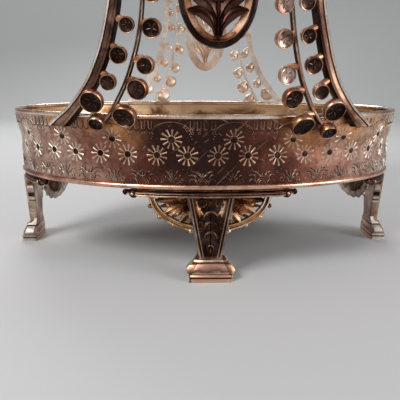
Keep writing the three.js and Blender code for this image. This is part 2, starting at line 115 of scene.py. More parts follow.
def catmull(before, start, end, after, t):
    """A point of the smooth curve from start to end."""
    return tuple(0.5 * (2 * b + (c - a) * t + (2 * a - 5 * b + 4 * c - d) * t ** 2
                        + (3 * b - a - 3 * c + d) * t ** 3)
                 for a, b, c, d in zip(before, start, end, after))


def smooth_line(points, steps):
    """Evenly spaced points along a smooth curve through the given ones."""
    fine = []
    for i in range(len(points) - 1):
        before = points[max(i - 1, 0)]
        after = points[min(i + 2, len(points) - 1)]
        fine.extend(catmull(before, points[i], points[i + 1], after, k / 12) for k in range(12))
    fine.append(tuple(points[-1]))
    lengths = [0]
    for here, there in zip(fine, fine[1:]):
        lengths.append(lengths[-1] + math.dist(here, there))
    line = []
    i = 0
    for goal in spread(0, lengths[-1], steps):
        while i < len(fine) - 2 and lengths[i + 1] < goal:
            i += 1
        span = lengths[i + 1] - lengths[i] or 1
        share = min(max((goal - lengths[i]) / span, 0), 1)
        line.append(tuple(a + (b - a) * share for a, b in zip(fine[i], fine[i + 1])))
    return line


def directions(line, looped):
    """The way that a line runs at each of its points."""
    start, end = (line[-1:], line[:1]) if looped else (line[:1], line[-1:])
    padded = start + line + end
    return [Vector([b - a for a, b in zip(before, after)]).normalized()
            for before, after in zip(padded, padded[2:])]


def interpolate(table, value):
    """Reads a table of (place, value) pairs between its entries."""
    for (low, here), (high, there) in zip(table, table[1:]):
        if value <= high:
            share = (value - low) / (high - low)
            return here + (there - here) * min(max(share, 0), 1)
    return table[-1][1]


# Closed forms

class Shape:
    """The points and faces of one piece, with a look number for each face. Strokes and beads are
    drawn from an origin on its surface, a function of two ways along it and one out of it."""

    def __init__(self, surface=None):
        self.surface = surface
        self.origin = (0, 0)
        self.points = []
        self.faces = []
        self.looks = []

    def loft(self, rings, looks=0, looped=False):
        """Joins rings of equally many points. looks is one number, one for each side of a ring, or a
        function of a step's number and a side's."""
        count = len(rings[0])
        base = len(self.points)
        last = len(rings) - 1

        def look_at(step, side):
            if callable(looks):
                return looks(step, side)
            return looks if isinstance(looks, int) else looks[side]

        for ring in rings:
            self.points.extend(Vector(point) for point in ring)
        for step in range(last + 1 if looped else last):
            here = base + step * count
            there = base + (step + 1) % len(rings) * count
            for i in range(count):
                j = (i + 1) % count
                self.faces.append([here + i, here + j, there + j, there + i])
                self.looks.append(look_at(step, i))
        if not looped:
            for ring, step in ((0, 0), (last, last - 1)):
                start = base + ring * count
                self.faces.append(list(range(start, start + count)))
                self.looks.append(look_at(step, 0))

    def lathe(self, profile, corners, place, axis, looks=0):
        """Turns a profile of (radius, height) round an axis. looks is one number or one for each step."""
        axis = axis.normalized()
        side = axis.orthogonal().normalized()
        other = axis.cross(side)
        rings = []
        for radius, height in profile:
            rings.append([place + axis * height + side * u + other * v
                          for u, v in circle(max(radius, LATHE_TIP), corners)])
        self.loft(rings, looks if isinstance(looks, int) else lambda step, i: looks[step])

    def ball(self, place, radius, look=0, flat=1, axis=UP):
        """A bead, flattened along its axis."""
        profile = [(radius * sin(t), -radius * flat * cos(t)) for t in spread(0, pi, 6)]
        self.lathe(profile, 10, Vector(place), axis, look)

    def stroke(self, line, half_width, height, look=0, closed=False):
        """A raised line with a sharp crest. half_width is a number or a function of 0 to 1."""
        rings = []
        line = [(self.origin[0] + u, self.origin[1] + v) for u, v in line]
        for i, ((u, v), along) in enumerate(zip(line, directions(line, closed))):
            width = half_width(i / (len(line) - 1)) if callable(half_width) else half_width
            rise = height * min(1, 0.35 + width / 0.4)
            du = -along.y * width
            dv = along.x * width
            rings.append([self.surface(u + du, v + dv, 0), self.surface(u, v, rise),
                          self.surface(u - du, v - dv, 0), self.surface(u, v, -rise)])
        self.loft(rings, look, closed)

    def leaf(self, root, tip, half_width, height, bow=0, look=0):
        """A pointed leaf with a crest down its middle, bowed sideways."""
        (u0, v0), (u1, v1) = root, tip
        line = []
        for t in spread(0, 1, 6):
            bend = bow * sin(pi * t)
            line.append((u0 + (u1 - u0) * t - (v1 - v0) * bend, v0 + (v1 - v0) * t + (u1 - u0) * bend))
        self.stroke(line, lambda t: half_width * sin(pi * (0.06 + 0.9 * t)) ** 0.8, height, look)

    def leaf_pair(self, root, tip, half_width, height, bow, look=0):
        for hand in (-1, 1):
            start, end = [(hand * u, v) for u, v in (root, tip)]
            self.leaf(start, end, half_width, height, bow * hand, look)

    def bead(self, u, v, radius, look=0, out=0):
        self.ball(self.surface(self.origin[0] + u, self.origin[1] + v, out), radius, look)

    def moved(self, matrix):
        self.points = [matrix @ point for point in self.points]
        return self


def sweep(shape, path, out_at, section_at, looks=0, looped=False):
    """Sweeps a section of (side, out) corners along a path. out_at is a vector or a function of a point,
    and section_at a section or a function of 0 to 1."""
    path = [Vector(point) for point in path]
    rings = []
    for i, (point, along) in enumerate(zip(path, directions(path, looped))):
        side = along.cross(out_at(point) if callable(out_at) else out_at).normalized()
        out = side.cross(along).normalized()
        section = section_at(i / (len(path) - 1)) if callable(section_at) else section_at
        rings.append([point + side * s + out * o for s, o in section])
    shape.loft(rings, looks, looped)


def show(name, data):
    """Puts a new object with its data into the scene."""
    made = bpy.data.objects.new(name, data)
    bpy.context.scene.collection.objects.link(made)
    return made


def make_piece(name, shape, materials, slot, node=None, body="stand", sharp=35):
    """Makes the Blender object of a shape, rides it on its body and hides the CAD node it stands for."""
    mesh = bpy.data.meshes.new(name)
    mesh.from_pydata([tuple(point * MM) for point in shape.points], [], shape.faces)
    for material in materials:
        mesh.materials.append(material)
    mesh.polygons.foreach_set("material_index", shape.looks)
    work = bmesh.new()
    work.from_mesh(mesh)
    bmesh.ops.remove_doubles(work, verts=work.verts, dist=WELD * MM)
    bmesh.ops.recalc_face_normals(work, faces=work.faces)
    work.to_mesh(mesh)
    work.free()
    mesh.shade_smooth()
    mesh.set_sharp_from_angle(angle=math.radians(sharp))
    piece = show(name, mesh)
    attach(piece, body)
    if node:
        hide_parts(node)


# Materials

class Graph:
    """A short way to write a material's nodes."""

    def __init__(self, name):
        self.material = bpy.data.materials.new(name)
        self.material.use_nodes = True
        self.tree = self.material.node_tree
        self.shader = self.tree.nodes["Principled BSDF"]

    def put(self, socket, value):
        """Feeds an input from another node, or sets it to a number, a vector or a colour."""
        if isinstance(value, bpy.types.NodeSocket):
            self.tree.links.new(value, socket)
        else:
            socket.default_value = (*value, 1) if socket.type == "RGBA" else value

    def fill(self, node, **inputs):
        for name, value in inputs.items():
            self.put(node.inputs[name.replace("_", " ")], value)
        return node

    def add(self, kind, **inputs):
        return self.fill(self.tree.nodes.new(kind), **inputs)

    def place(self):
        return self.add("ShaderNodeTexCoord").outputs["Object"]

    def axis(self, number):
        return self.add("ShaderNodeSeparateXYZ", Vector=self.place()).outputs[number]

    def noise(self, scale, detail=4, roughness=0.55, distortion=0):
        made = self.add("ShaderNodeTexNoise", Vector=self.place(), Scale=scale, Detail=detail,
                        Roughness=roughness, Distortion=distortion)
        return made.outputs["Fac"]

    def scratches(self, lean):
        """Thin long lines that lean by an angle: 1 on them and 0 elsewhere."""
        stretch = (1, 1, 25)
        turned = self.add("ShaderNodeMapping", Vector=self.place(), Rotation=(0, lean, 0), Scale=stretch)
        turned.vector_type = "TEXTURE"
        made = self.add("ShaderNodeTexNoise", Vector=turned.outputs["Vector"], Scale=900, Detail=2)
        return self.ramp(made.outputs["Fac"], [(0.67, 0), (0.73, 1)])

    def ramp(self, value, stops):
        """Reads a value on a scale of (place, colour or number) stops."""
        made = self.add("ShaderNodeValToRGB", Fac=value)
        elements = made.color_ramp.elements
        while len(elements) < len(stops):
            elements.new(0.5)
        for element, (place, colour) in zip(elements, stops):
            element.position = place
            element.color = (*colour, 1) if isinstance(colour, tuple) else (colour, colour, colour, 1)
        return made.outputs["Color"]

    def mix(self, share, first, second):
        made = self.tree.nodes.new("ShaderNodeMix")
        made.data_type = "RGBA"
        for number, value in ((0, share), (6, first), (7, second)):
            self.put(made.inputs[number], value)
        return made.outputs[2]

    def maths(self, operation, first, second=0, clamp=False):
        made = self.tree.nodes.new("ShaderNodeMath")
        made.operation = operation
        made.use_clamp = clamp
        self.put(made.inputs[0], first)
        self.put(made.inputs[1], second)
        return made.outputs[0]

    def times(self, first, second, clamp=False):
        return self.maths("MULTIPLY", first, second, clamp)

    def height_in(self, node):
        """The height as a share of a CAD node's, from its bottom."""
        low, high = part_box(node)
        return self.maths("DIVIDE", self.maths("SUBTRACT", self.axis(2), low[2]), high[2] - low[2])

    def aside(self):
        """0 in the tray's middle and 1 at its ends."""
        return self.times(self.maths("ABSOLUTE", self.axis(0)), 1 / (TRAY_HALF_WIDTH * MM), clamp=True)

    def clouded(self, value, clouds, amount):
        """A value shifted up and down by clouds."""
        return self.maths("ADD", value, self.times(self.maths("SUBTRACT", clouds, 0.5), amount))

    def bump(self, height, distance, strength):
        made = self.add("ShaderNodeBump", Height=height, Distance=distance, Strength=strength)
        self.fill(self.shader, Normal=made.outputs["Normal"])

    def metal(self, tone, metallic, rough, polish, grain=(900, 3, 0.6), depth=0.0001, strength=0.25):
        """Ends a metal: roughness between two values in the polish noise's patches, and a fine grain."""
        patches = self.ramp(self.noise(*polish), [(0.3, rough[0]), (0.7, rough[1])])
        self.fill(self.shader, Base_Color=tone, Metallic=metallic, Roughness=patches)
        self.bump(self.noise(*grain), depth, strength)
        return self.material


def three_tones(dark, warm, pale):
    return [(0.36, dark), (0.5, warm), (0.66, pale)]


def toned_metal(name, dark, warm, pale, scale=38, rough=(0.22, 0.45), metallic=1):
    """Old silver plate: dark, warm and pale clouds, fine grime and a soft polish."""
    graph = Graph(name)
    tone = graph.ramp(graph.noise(scale, 5, 0.62, 0.6), three_tones(dark, warm, pale))
    grime = graph.ramp(graph.noise(scale * 6, 6, 0.7), [(0.3, 0.45), (0.55, 0)])
    tone = graph.mix(grime, tone, tuple(c * 0.45 for c in dark))
    return graph.metal(tone, metallic, rough, (scale * 3, 6, 0.7))


def wall_metal():
    """The tray's wall: a painted reflection, nearly black brown in the middle, mauve and cream to the sides,
    and painted gold high up.
    """
    graph = Graph("wall_metal")
    side = graph.aside()
    # Painted reflection: dark in the middle of the wall and paler towards the sides, clouded
    painted_reflection_spread = graph.clouded(side, graph.noise(30, 6, 0.62, 0.9), 1)
    tone = graph.ramp(painted_reflection_spread, [(0.08, (0.03, 0.011, 0.008)), (0.3, (0.12, 0.036, 0.022)),
                                   (0.5, (0.26, 0.105, 0.07)), (0.8, (0.5, 0.32, 0.24)),
                                   (0.98, (0.7, 0.53, 0.41))])
    # Painted gold reflection, in patches high on the wall near the brackets
    near_brackets = graph.ramp(side, [(0.22, 0), (0.42, 1), (0.72, 1), (0.9, 0)])
    high_up = graph.ramp(graph.height_in("tray_dish"), [(0.45, 0), (0.85, 1)])
    patches = graph.ramp(graph.noise(36, 4, 0.55, 0.5), [(0.42, 0), (0.56, 1)])
    painted_gold_reflection = graph.times(graph.times(near_brackets, high_up), patches)
    tone = graph.mix(graph.times(painted_gold_reflection, 0.85), tone, (0.66, 0.3, 0.1))
    # Cream patches of wear, kept to the sides, where they also brighten the painted reflection
    worn = graph.ramp(graph.noise(150, 5, 0.7, 0.4), [(0.48, 0), (0.64, 1)])
    sheen_to_sides = graph.ramp(side, [(0.5, 0), (0.85, 0.6)])
    tone = graph.mix(graph.times(worn, sheen_to_sides), tone, (0.78, 0.6, 0.47))
    grime = graph.ramp(graph.noise(260, 6, 0.75), [(0.36, 0.6), (0.55, 0)])
    tone = graph.mix(grime, tone, (0.03, 0.014, 0.01))
    for lean in (0.8, -1.1):
        tone = graph.mix(graph.times(graph.scratches(lean), 0.4), tone, (0.5, 0.32, 0.24))
    return graph.metal(tone, 0.85, (0.34, 0.55), (120, 6, 0.7), (700, 4, 0.6), 0.00015, 0.3)


def inside_metal():
    """The tray's inside: tan and cream with a dark wave under the rim."""
    graph = Graph("inside_metal")
    wave = graph.clouded(graph.height_in("tray_dish"), graph.noise(24, 5, 0.6, 1.4), 1.3)
    tone = graph.ramp(wave, [(0.3, (0.72, 0.6, 0.46)), (0.5, (0.56, 0.35, 0.2)), (0.68, (0.14, 0.06, 0.03)),
                             (0.8, (0.24, 0.11, 0.05)), (0.95, (0.7, 0.46, 0.27))])
    return graph.metal(tone, 0.95, (0.25, 0.45), (90, 5, 0.6), (600, 4, 0.6))


def cut_metal(name, strength):
    """The wall's bright cuts: brown and tan in the middle, cream to the sides, a painted reflection like the
    wall's.
    """
    graph = Graph(name)
    # Painted reflection: darker in the middle, paler towards the sides
    painted_reflection_spread = graph.clouded(graph.aside(), graph.noise(90, 5, 0.62, 0.5), 1.2)
    stops = [(0, (0.16, 0.08, 0.05)), (0.25, (0.42, 0.25, 0.16)), (0.55, (0.7, 0.52, 0.4)),
             (0.95, (0.86, 0.77, 0.68))]
    tone = graph.ramp(painted_reflection_spread, [(place, tuple(c * strength for c in colour)) for place, colour in stops])
    return graph.metal(tone, 0.9, (0.38, 0.58), (140, 5, 0.7))


def worn_arm_metal():
    """The front arms: nearly black brown, worn to copper brown towards their toes."""
    graph = Graph("worn_arm")
    clouds = graph.noise(45, 5, 0.62, 0.6)
    dark = three_tones((0.022, 0.01, 0.008), (0.08, 0.038, 0.028), (0.26, 0.14, 0.095))
    worn = three_tones((0.12, 0.055, 0.035), (0.34, 0.185, 0.12), (0.62, 0.42, 0.3))
    toe = graph.ramp(graph.height_in("support_arm_front_right"), [(0.05, 0.9), (0.36, 0)])
    tone = graph.mix(toe, graph.ramp(clouds, dark), graph.ramp(clouds, worn))
    return graph.metal(tone, 1, (0.26, 0.48), (135, 6, 0.7))


def foot_metal():
    """The foot's flat faces: copper pink with a dark grey wave across."""
    graph = Graph("foot_metal")
    wave = graph.clouded(graph.height_in("leg_foot_front"), graph.noise(120, 3, 0.5, 0.8), 0.45)
    tone = graph.ramp(wave, [(0.1, (0.7, 0.42, 0.3)), (0.34, (0.66, 0.34, 0.24)), (0.44, (0.16, 0.1, 0.09)),
                             (0.52, (0.4, 0.2, 0.14)), (0.66, (0.68, 0.38, 0.27)),
                             (0.85, (0.3, 0.16, 0.11))])
    return graph.metal(tone, 1, (0.25, 0.42), (120, 5, 0.6))


def blown_glass():
    """Opal glass that turns from milky white in the bowl to pink at the ruffled rim."""
    graph = Graph("blown_glass")
    height = graph.clouded(graph.height_in("glass_bowl"), graph.noise(30, 3, 0.5), 0.18)
    stops = [(0.15, (0.9, 0.86, 0.82)), (0.55, (0.87, 0.6, 0.6)), (0.9, (0.66, 0.13, 0.2))]
    graph.fill(graph.shader, Base_Color=graph.ramp(height, stops), Roughness=0.16, IOR=1.5,
               Transmission_Weight=0.35, Subsurface_Weight=0.2, Subsurface_Radius=(0.01, 0.006, 0.005),
               Coat_Weight=0.3, Coat_Roughness=0.12)
    graph.bump(graph.noise(60, 2, 0.4), 0.0004, 0.3)
    return graph.material


def paper():
    """The stage's pale grey, a little uneven."""
    graph = Graph("pale_paper")
    tone = graph.ramp(graph.noise(4, 2, 0.5), [(0.3, (0.5, 0.5, 0.5)), (0.7, (0.49, 0.49, 0.49))])
    graph.fill(graph.shader, Base_Color=tone, Roughness=0.8)
    return graph.material


WALL = wall_metal()
INSIDE = inside_metal()
BRIGHT_CUT = cut_metal("bright_cut", 0.88)
DULL_CUT = cut_metal("dull_cut", 0.62)
FOOT = foot_metal()
WORN_ARM = worn_arm_metal()
GLASS = blown_glass()

# The toned metals: dark, warm and pale tone, the clouds' scale, roughness from and to, and metallic
ROLLED = toned_metal("rolled_edge", (0.5, 0.31, 0.22), (0.82, 0.66, 0.53), (0.97, 0.91, 0.83),
                     24, (0.15, 0.32))
PINK = toned_metal("pink_edge", (0.42, 0.2, 0.13), (0.76, 0.45, 0.32), (0.92, 0.7, 0.57), 40, (0.18, 0.36))
ARM = toned_metal("arm_metal", (0.022, 0.01, 0.008), (0.07, 0.032, 0.024), (0.2, 0.11, 0.08), 45)
EDGE = toned_metal("worn_edge", (0.28, 0.15, 0.1), (0.55, 0.36, 0.25), (0.84, 0.66, 0.5), 60)
# A painted highlight for the arms' outer ridges and one chamfer of each stem
ARM_HIGHLIGHT = toned_metal("arm_highlight", (0.5, 0.35, 0.27), (0.8, 0.65, 0.53), (0.97, 0.91, 0.83),
                       50, (0.28, 0.45))
LIT_FACE = toned_metal("lit_face", (0.12, 0.065, 0.05), (0.38, 0.24, 0.2), (0.78, 0.64, 0.58), 130)
COPPER = toned_metal("copper_rim", (0.22, 0.085, 0.045), (0.56, 0.28, 0.15), (0.82, 0.6, 0.45), 90)
# Nearly black: painted shade on the cups' faces and the arms' and stems' inner sides, and painted shadow
# beside the wall's sprays; also the daisies' hearts, grooves and sunk fields
CUP_FACE = toned_metal("cup_face", (0.012, 0.007, 0.006), (0.03, 0.016, 0.013), (0.1, 0.055, 0.042), 90)
STEM_EDGE = toned_metal("stem_edge", (0.04, 0.02, 0.014), (0.15, 0.08, 0.055), (0.42, 0.29, 0.21), 60)
# The back support's metals: pale, painted lit copies of the front support's dark ones
PAINTED_LIT_PEACH = toned_metal("painted_lit_peach", (0.62, 0.4, 0.28), (0.88, 0.68, 0.54), (0.98, 0.91, 0.82),
                    46, (0.35, 0.55), 0.6)
PAINTED_LIT_ARM = toned_metal("painted_lit_arm", (0.72, 0.55, 0.44), (0.93, 0.83, 0.74), (1, 0.97, 0.93),
                       40, (0.3, 0.5), 0.5)
FAN = toned_metal("fan_metal", (0.06, 0.028, 0.014), (0.34, 0.17, 0.08), (0.7, 0.5, 0.34), 70)
FAN_EDGE = toned_metal("fan_edge", (0.4, 0.18, 0.07), (0.8, 0.45, 0.21), (1, 0.92, 0.82), 110)
LEG = toned_metal("leg_metal", (0.2, 0.11, 0.08), (0.42, 0.28, 0.21), (0.72, 0.58, 0.48), 60, (0.3, 0.5))
RELIEF = toned_metal("leg_relief", (0.05, 0.022, 0.014), (0.18, 0.09, 0.055), (0.5, 0.32, 0.2), 80)
BEVEL = toned_metal("foot_bevel", (0.3, 0.23, 0.19), (0.5, 0.42, 0.36), (0.76, 0.7, 0.63), 80, (0.5, 0.65))
COPPER_BEVEL = toned_metal("copper_bevel", (0.2, 0.08, 0.04), (0.46, 0.23, 0.13), (0.68, 0.46, 0.32), 70,
                           (0.5, 0.65))
SILVER = toned_metal("plain_silver", (0.38, 0.3, 0.24), (0.64, 0.56, 0.48), (0.84, 0.79, 0.73),
                     30, (0.26, 0.44))


# The tray

# The wall from its top down, as shares of its height and how far it stands in
WALL_SHAPE = smooth_line([(0, 0.2), (0.14, 0.7), (0.31, 1.8), (0.46, 2.8), (0.69, 2.5),
                          (1, BOTTOM_INSET)], 30)
OUTLINE_STEPS = 288


def wall_inset(height):
    """How far the wall's outside stands in from the tray's outline."""
    return interpolate(WALL_SHAPE, (WALL_TOP - height) / (WALL_TOP - WALL_BOTTOM))


def outline_lengths():
    """Pairs of the way along the wall from the front middle and the oval's angle there."""
    half_width = TRAY_HALF_WIDTH - BOTTOM_INSET
    half_depth = TRAY_HALF_DEPTH - BOTTOM_INSET
    angles = spread(-TAU / 4, TAU * 3 / 4, 720)
    table = [(0, angles[0])]
    for start, end in zip(angles, angles[1:]):
        halfway = (start + end) / 2
        step = hypot(half_width * sin(halfway), half_depth * cos(halfway)) * (end - start)
        table.append((table[-1][0] + step, end))
    return table


LENGTHS = outline_lengths()
WALL_LENGTH = LENGTHS[-1][0]


def angle_at(along):
    """The oval's angle at a way along the wall."""
    along %= WALL_LENGTH
    low = bisect(LENGTHS, (along, math.inf)) - 1
    return interpolate(LENGTHS[low:low + 2], along)


def oval_point(inset, angle, height):
    return Vector(((TRAY_HALF_WIDTH - inset) * cos(angle),
                   (TRAY_HALF_DEPTH - inset) * sin(angle), height))


def oval_ring(inset, height):
    return [oval_point(inset, angle, height) for angle in full_turn(OUTLINE_STEPS)]


def on_wall(along, height, out):
    """A place on the wall's outside, out millimetres proud of it."""
    angle = angle_at(along)
    point = oval_point(wall_inset(height), angle, height)
    normal = Vector((cos(angle) / TRAY_HALF_WIDTH, sin(angle) / TRAY_HALF_DEPTH, 0)).normalized()
    return point + normal * out


def tray_wall():
    shape = Shape()
    floor = WALL_BOTTOM + 2
    corner = BOTTOM_INSET + SHEET
    heights = spread(WALL_TOP + 0.5, WALL_BOTTOM, 16)
    inside = [(inset, floor) for inset in (60, 30, 10, corner + 2.2)]
    inside += [(corner + 0.8, floor + 0.5), (corner + 0.2, floor + 1.3)]
    inside += [(wall_inset(z) + SHEET, z) for z in reversed(heights) if z > floor + 2]
    outside = [(wall_inset(z), z) for z in heights]
    outside += [(BOTTOM_INSET + 0.6, WALL_BOTTOM - 0.9), (10, floor - SHEET), (60, floor - SHEET)]
    shape.loft([oval_ring(inset, z) for inset, z in inside + outside],
               lambda step, side: 1 if step < len(inside) - 1 else 0)
    make_piece("tray_wall", shape, [WALL, INSIDE], "warm_silver", "tray_dish")


def tray_bead(name, inset, height, half_width, material):
    shape = Shape()
    section = ellipse(0, 0, half_width, BEAD_RADIUS, 14)
    sweep(shape, oval_ring(inset, height), UP, section, looped=True)
    make_piece(name, shape, [material], "pale_silver", f"tray_{name}")


# The wall's bright-cut ornament, laid out as way along the wall and height

DAISIES = 40
DAISY_PITCH = WALL_LENGTH / DAISIES
DAISY_START = 3
DAISY_RADIUS = 4.8
PETALS = 11
LOWER_ROW = WALL_TOP - 16.2
UPPER_ROW = WALL_TOP - 8.7


def daisy(shape, along, height):
    """A ring with separate petals that widen outwards, round a dark heart."""
    shape.origin = (along, height)
    ring_radius = 0.36 * DAISY_RADIUS
    for k in range(PETALS):
        angle = TAU * (k + 0.5) / PETALS
        tip = DAISY_RADIUS * (1 + 0.05 * sin(5 * k + along))
        radii = (1.05 * ring_radius, 0.6 * DAISY_RADIUS, 0.85 * DAISY_RADIUS, tip)
        shape.stroke([polar((0, 0), r, angle) for r in radii], lambda t: 0.2 + 0.36 * t, 0.26)
    shape.stroke(circle(ring_radius, 14), 0.2, 0.22, closed=True)
    heart = on_wall(along, height, 0.02)
    shape.ball(heart, 0.34 * DAISY_RADIUS, 1, 0.06, on_wall(along, height, 1) - heart)


def wall_daisies():
    lower = Shape(on_wall)
    upper = Shape(on_wall)
    for k in range(DAISIES):
        along = DAISY_START + k * DAISY_PITCH
        daisy(lower, along, LOWER_ROW)
        if k % 2 == 0:
            daisy(upper, along + DAISY_PITCH / 2, UPPER_ROW)
    for row, shape in (("lower", lower), ("upper", upper)):
        make_piece(f"wall_daisies_{row}", shape, [BRIGHT_CUT, CUP_FACE], "pale_silver", sharp=20)


def half_round(centre, foot, reach, rise, steps=12):
    """An arch over a centre, from its left foot to its right one."""
    return [(centre - reach * cos(t), foot + rise * sin(t)) for t in spread(0, pi, steps)]


def tongue_line(half_width, drop):
    """A narrow U that hangs from the rim."""
    low = half_round(0, half_width - drop, half_width, -half_width, 6)
    return [(-half_width, 0)] + low + [(half_width, 0)]


def wall_tongues():
    """Groups of hanging tongues with rings under them, and a fringed double arch between two groups."""
    shape = Shape(on_wall)
    top = WALL_TOP - 0.4
    drop = 5.4
    reach = 4.65
    outer = half_round(0, 0, 8.6, 5)
    inner = half_round(0, 0, 7.2, 3.8)
    for group in range(DAISIES // 2):
        centre = DAISY_START + (2 * group + 1.5) * DAISY_PITCH
        for along in spread(centre - reach, centre + reach, 3):
            shape.origin = (along, top)
            shape.stroke(tongue_line(1.2, 4.4), 0.2, 0.2, 1)
            shape.stroke(tongue_line(0.8, 3.7), 0.14, 0.2)
            shape.stroke(ellipse(0, -drop, 0.5, 0.5, 8), 0.1, 0.18, closed=True)
        shape.origin = (centre + DAISY_PITCH, top - drop)
        shape.stroke(outer, 0.12, 0.18)
        shape.stroke(inner, 0.12, 0.18, 1)
        for (u0, v0), (u1, v1) in list(zip(inner, outer))[1:-1]:
            shape.stroke([(u0, v0), ((u0 + u1) / 2, (v0 + v1) / 2), (u1, v1)], 0.1, 0.14, 1)
        for hand in (-1, 1):
            for k in range(3):
                shape.bead(hand * (8.2 + 0.5 * k), -0.4 - 1.1 * k, 0.26)
    make_piece("wall_tongues", shape, [DULL_CUT, CUP_FACE], "pale_silver", sharp=20)


def scroll(centre, radius, start, turns, steps=16):
    """Points of a curl that winds in towards its centre, down to a quarter of its radius."""
    return [polar(centre, radius * (1 - 0.75 * t), start + TAU * turns * t) for t in spread(0, 1, steps)]


def palmette(shape, look):
    """Five narrow upright leaves that fan out, with a curl and two bowed leaves at each side."""
    for k in range(-2, 3):
        lean = 0.4 * k
        reach = 5.8 - 0.8 * abs(k)
        shape.leaf((0.4 * k, 0.3), (reach * sin(lean), 0.4 + reach * cos(lean)), 0.26, 0.22, 0.1 * k, look)
    for hand in (-1, 1):
        shape.stroke(scroll((3.9 * hand, 1.5), 1.4, pi / 2, -0.8 * hand), 0.12, 0.2, look)
    for low, high, reach in ((2.4, 4.6, 4.6), (4, 6.6, 3.4)):
        shape.leaf_pair((reach - 1.6, low), (reach, high), 0.24, 0.22, 0.2, look)


def crescent(shape, look):
    """An open crescent over a low arch, between bending leaves."""
    bowl = [(2.1 * cos(t), 6 + 2.4 * sin(t)) for t in spread(0.92 * pi, 2.08 * pi, 14)]
    shape.stroke(bowl, lambda t: 0.1 + 0.26 * sin(pi * t), 0.24, look)
    shape.leaf((0, 3.4), (0, 5.4), 0.3, 0.22, look=look)
    for root, tip, bow in (((1.4, 4.1), (5.6, 6.3), 0.12), ((3, 2.8), (6.4, 4), 0.3),
                           ((2.6, 1), (3.4, 3), -0.2)):
        shape.leaf_pair(root, tip, 0.28, 0.22, bow, look)
    for hand in (-1, 1):
        shape.stroke(half_round(4.6 * hand, 1, 1.5, 1.4, 8), 0.12, 0.2, look)
    for reach in (2.7, 1.7):
        shape.stroke(half_round(0, 0, reach, reach, 10), 0.13, 0.2, look)


def wall_sprays():
    """The border along the wall's foot: palmettes and crescents in turn, each with a dark copy a little
    aside, a painted shadow.
    """
    shape = Shape(on_wall)
    foot = WALL_BOTTOM + 0.2
    for k in range(DAISIES):
        along = DAISY_START + (k + 0.5) * DAISY_PITCH
        draw = palmette if k % 2 == 0 else crescent
        # Each motif twice: first a dark copy set a little aside and up, a painted shadow, then the cut
        # itself
        for aside, rise, look in ((0.42, 0.22, 1), (0, 0, 0)):
            shape.origin = (along + aside, foot + rise)
            draw(shape, look)
        for dot in range(3):
            shape.bead(DAISY_PITCH * (0.36 + 0.14 * dot), 7 - 1.2 * (dot % 2), 0.2)
    make_piece("wall_sprays", shape, [DULL_CUT, CUP_FACE], "pale_silver", sharp=20)


# The legs, drawn at the origin with +X outwards and +Y along the tray's edge

LEG_SPOTS = {"front": -TAU / 4, "back": TAU / 4, "left": TAU / 2, "right": 0}
PANEL_FOOT_HALF = 5.75
PANEL_TOP_HALF = 11


def leg_matrix(node, spot, depth):
    """Moves a leg piece so that its own x = 0 stands depth millimetres behind the node's outer side."""
    low, high = node_box(node)
    angle = LEG_SPOTS[spot]
    outer = max(abs(low.y), abs(high.y)) if spot in ("front", "back") else max(abs(low.x), abs(high.x))
    return Matrix.Rotation(angle, 4, "Z") @ Matrix.Translation((outer - depth, 0, 0))


def panel_half(height):
    """Half the leg panel's width at a height."""
    share = (height - FOOT_TOP) / (LEG_TOP - FOOT_TOP)
    return PANEL_FOOT_HALF + (PANEL_TOP_HALF - PANEL_FOOT_HALF) * share


# The mouldings on the side walls of the leg: how far their lower and upper edges are under its top,
# how far they stand out and their look
PANEL_BANDS = [(6.6, 0.2, 0.5, 2), (10.4, 6.8, 1, 5), (13.7, 10.5, 0.3, 1), (15.4, 14, 0.8, 5),
               (16.1, 15.5, 0.2, 1), (17.8, 16.2, 0.7, 5)]
PANEL_FIELD = 0.4
PANEL_BACK = -2.8


def panel_sides(shape, hand, heights):
    """Two ribs down one edge of the panel, and the mouldings on its side wall."""
    for offset, width, proud, back in ((0.7, 0.7, 1.6, PANEL_BACK), (2.15, 0.55, 1.3, -1)):
        section = ((back, -width), (0.6, -width), (proud, -width * 0.35),
                   (proud, width * 0.35), (0.6, width), (back, width))
        shape.loft([[(x, hand * (panel_half(z) - offset + w), z) for x, w in section] for z in heights])
    for bottom, top, proud, look in PANEL_BANDS:
        rings = []
        for share, out in ((0, 0), (0.25, 1), (0.75, 1), (1, 0)):
            z = LEG_TOP - bottom + (bottom - top) * share
            root = hand * (panel_half(z) - 0.6)
            edge = root + hand * (0.5 + proud * out)
            back = PANEL_BACK - 0.3 * out
            rings.append([(back, root, z), (0.5, root, z), (0.5, edge, z), (back, edge, z)])
        shape.loft(rings, look)


def flat_at(x):
    """A plane that faces outwards, x millimetres out."""
    return lambda u, v, out: Vector((x + out, u, v))


def swelling(width):
    """The half width of a stroke that is fullest in its middle."""
    return lambda t: width * sin(pi * (0.1 + 0.8 * t)) ** 0.5


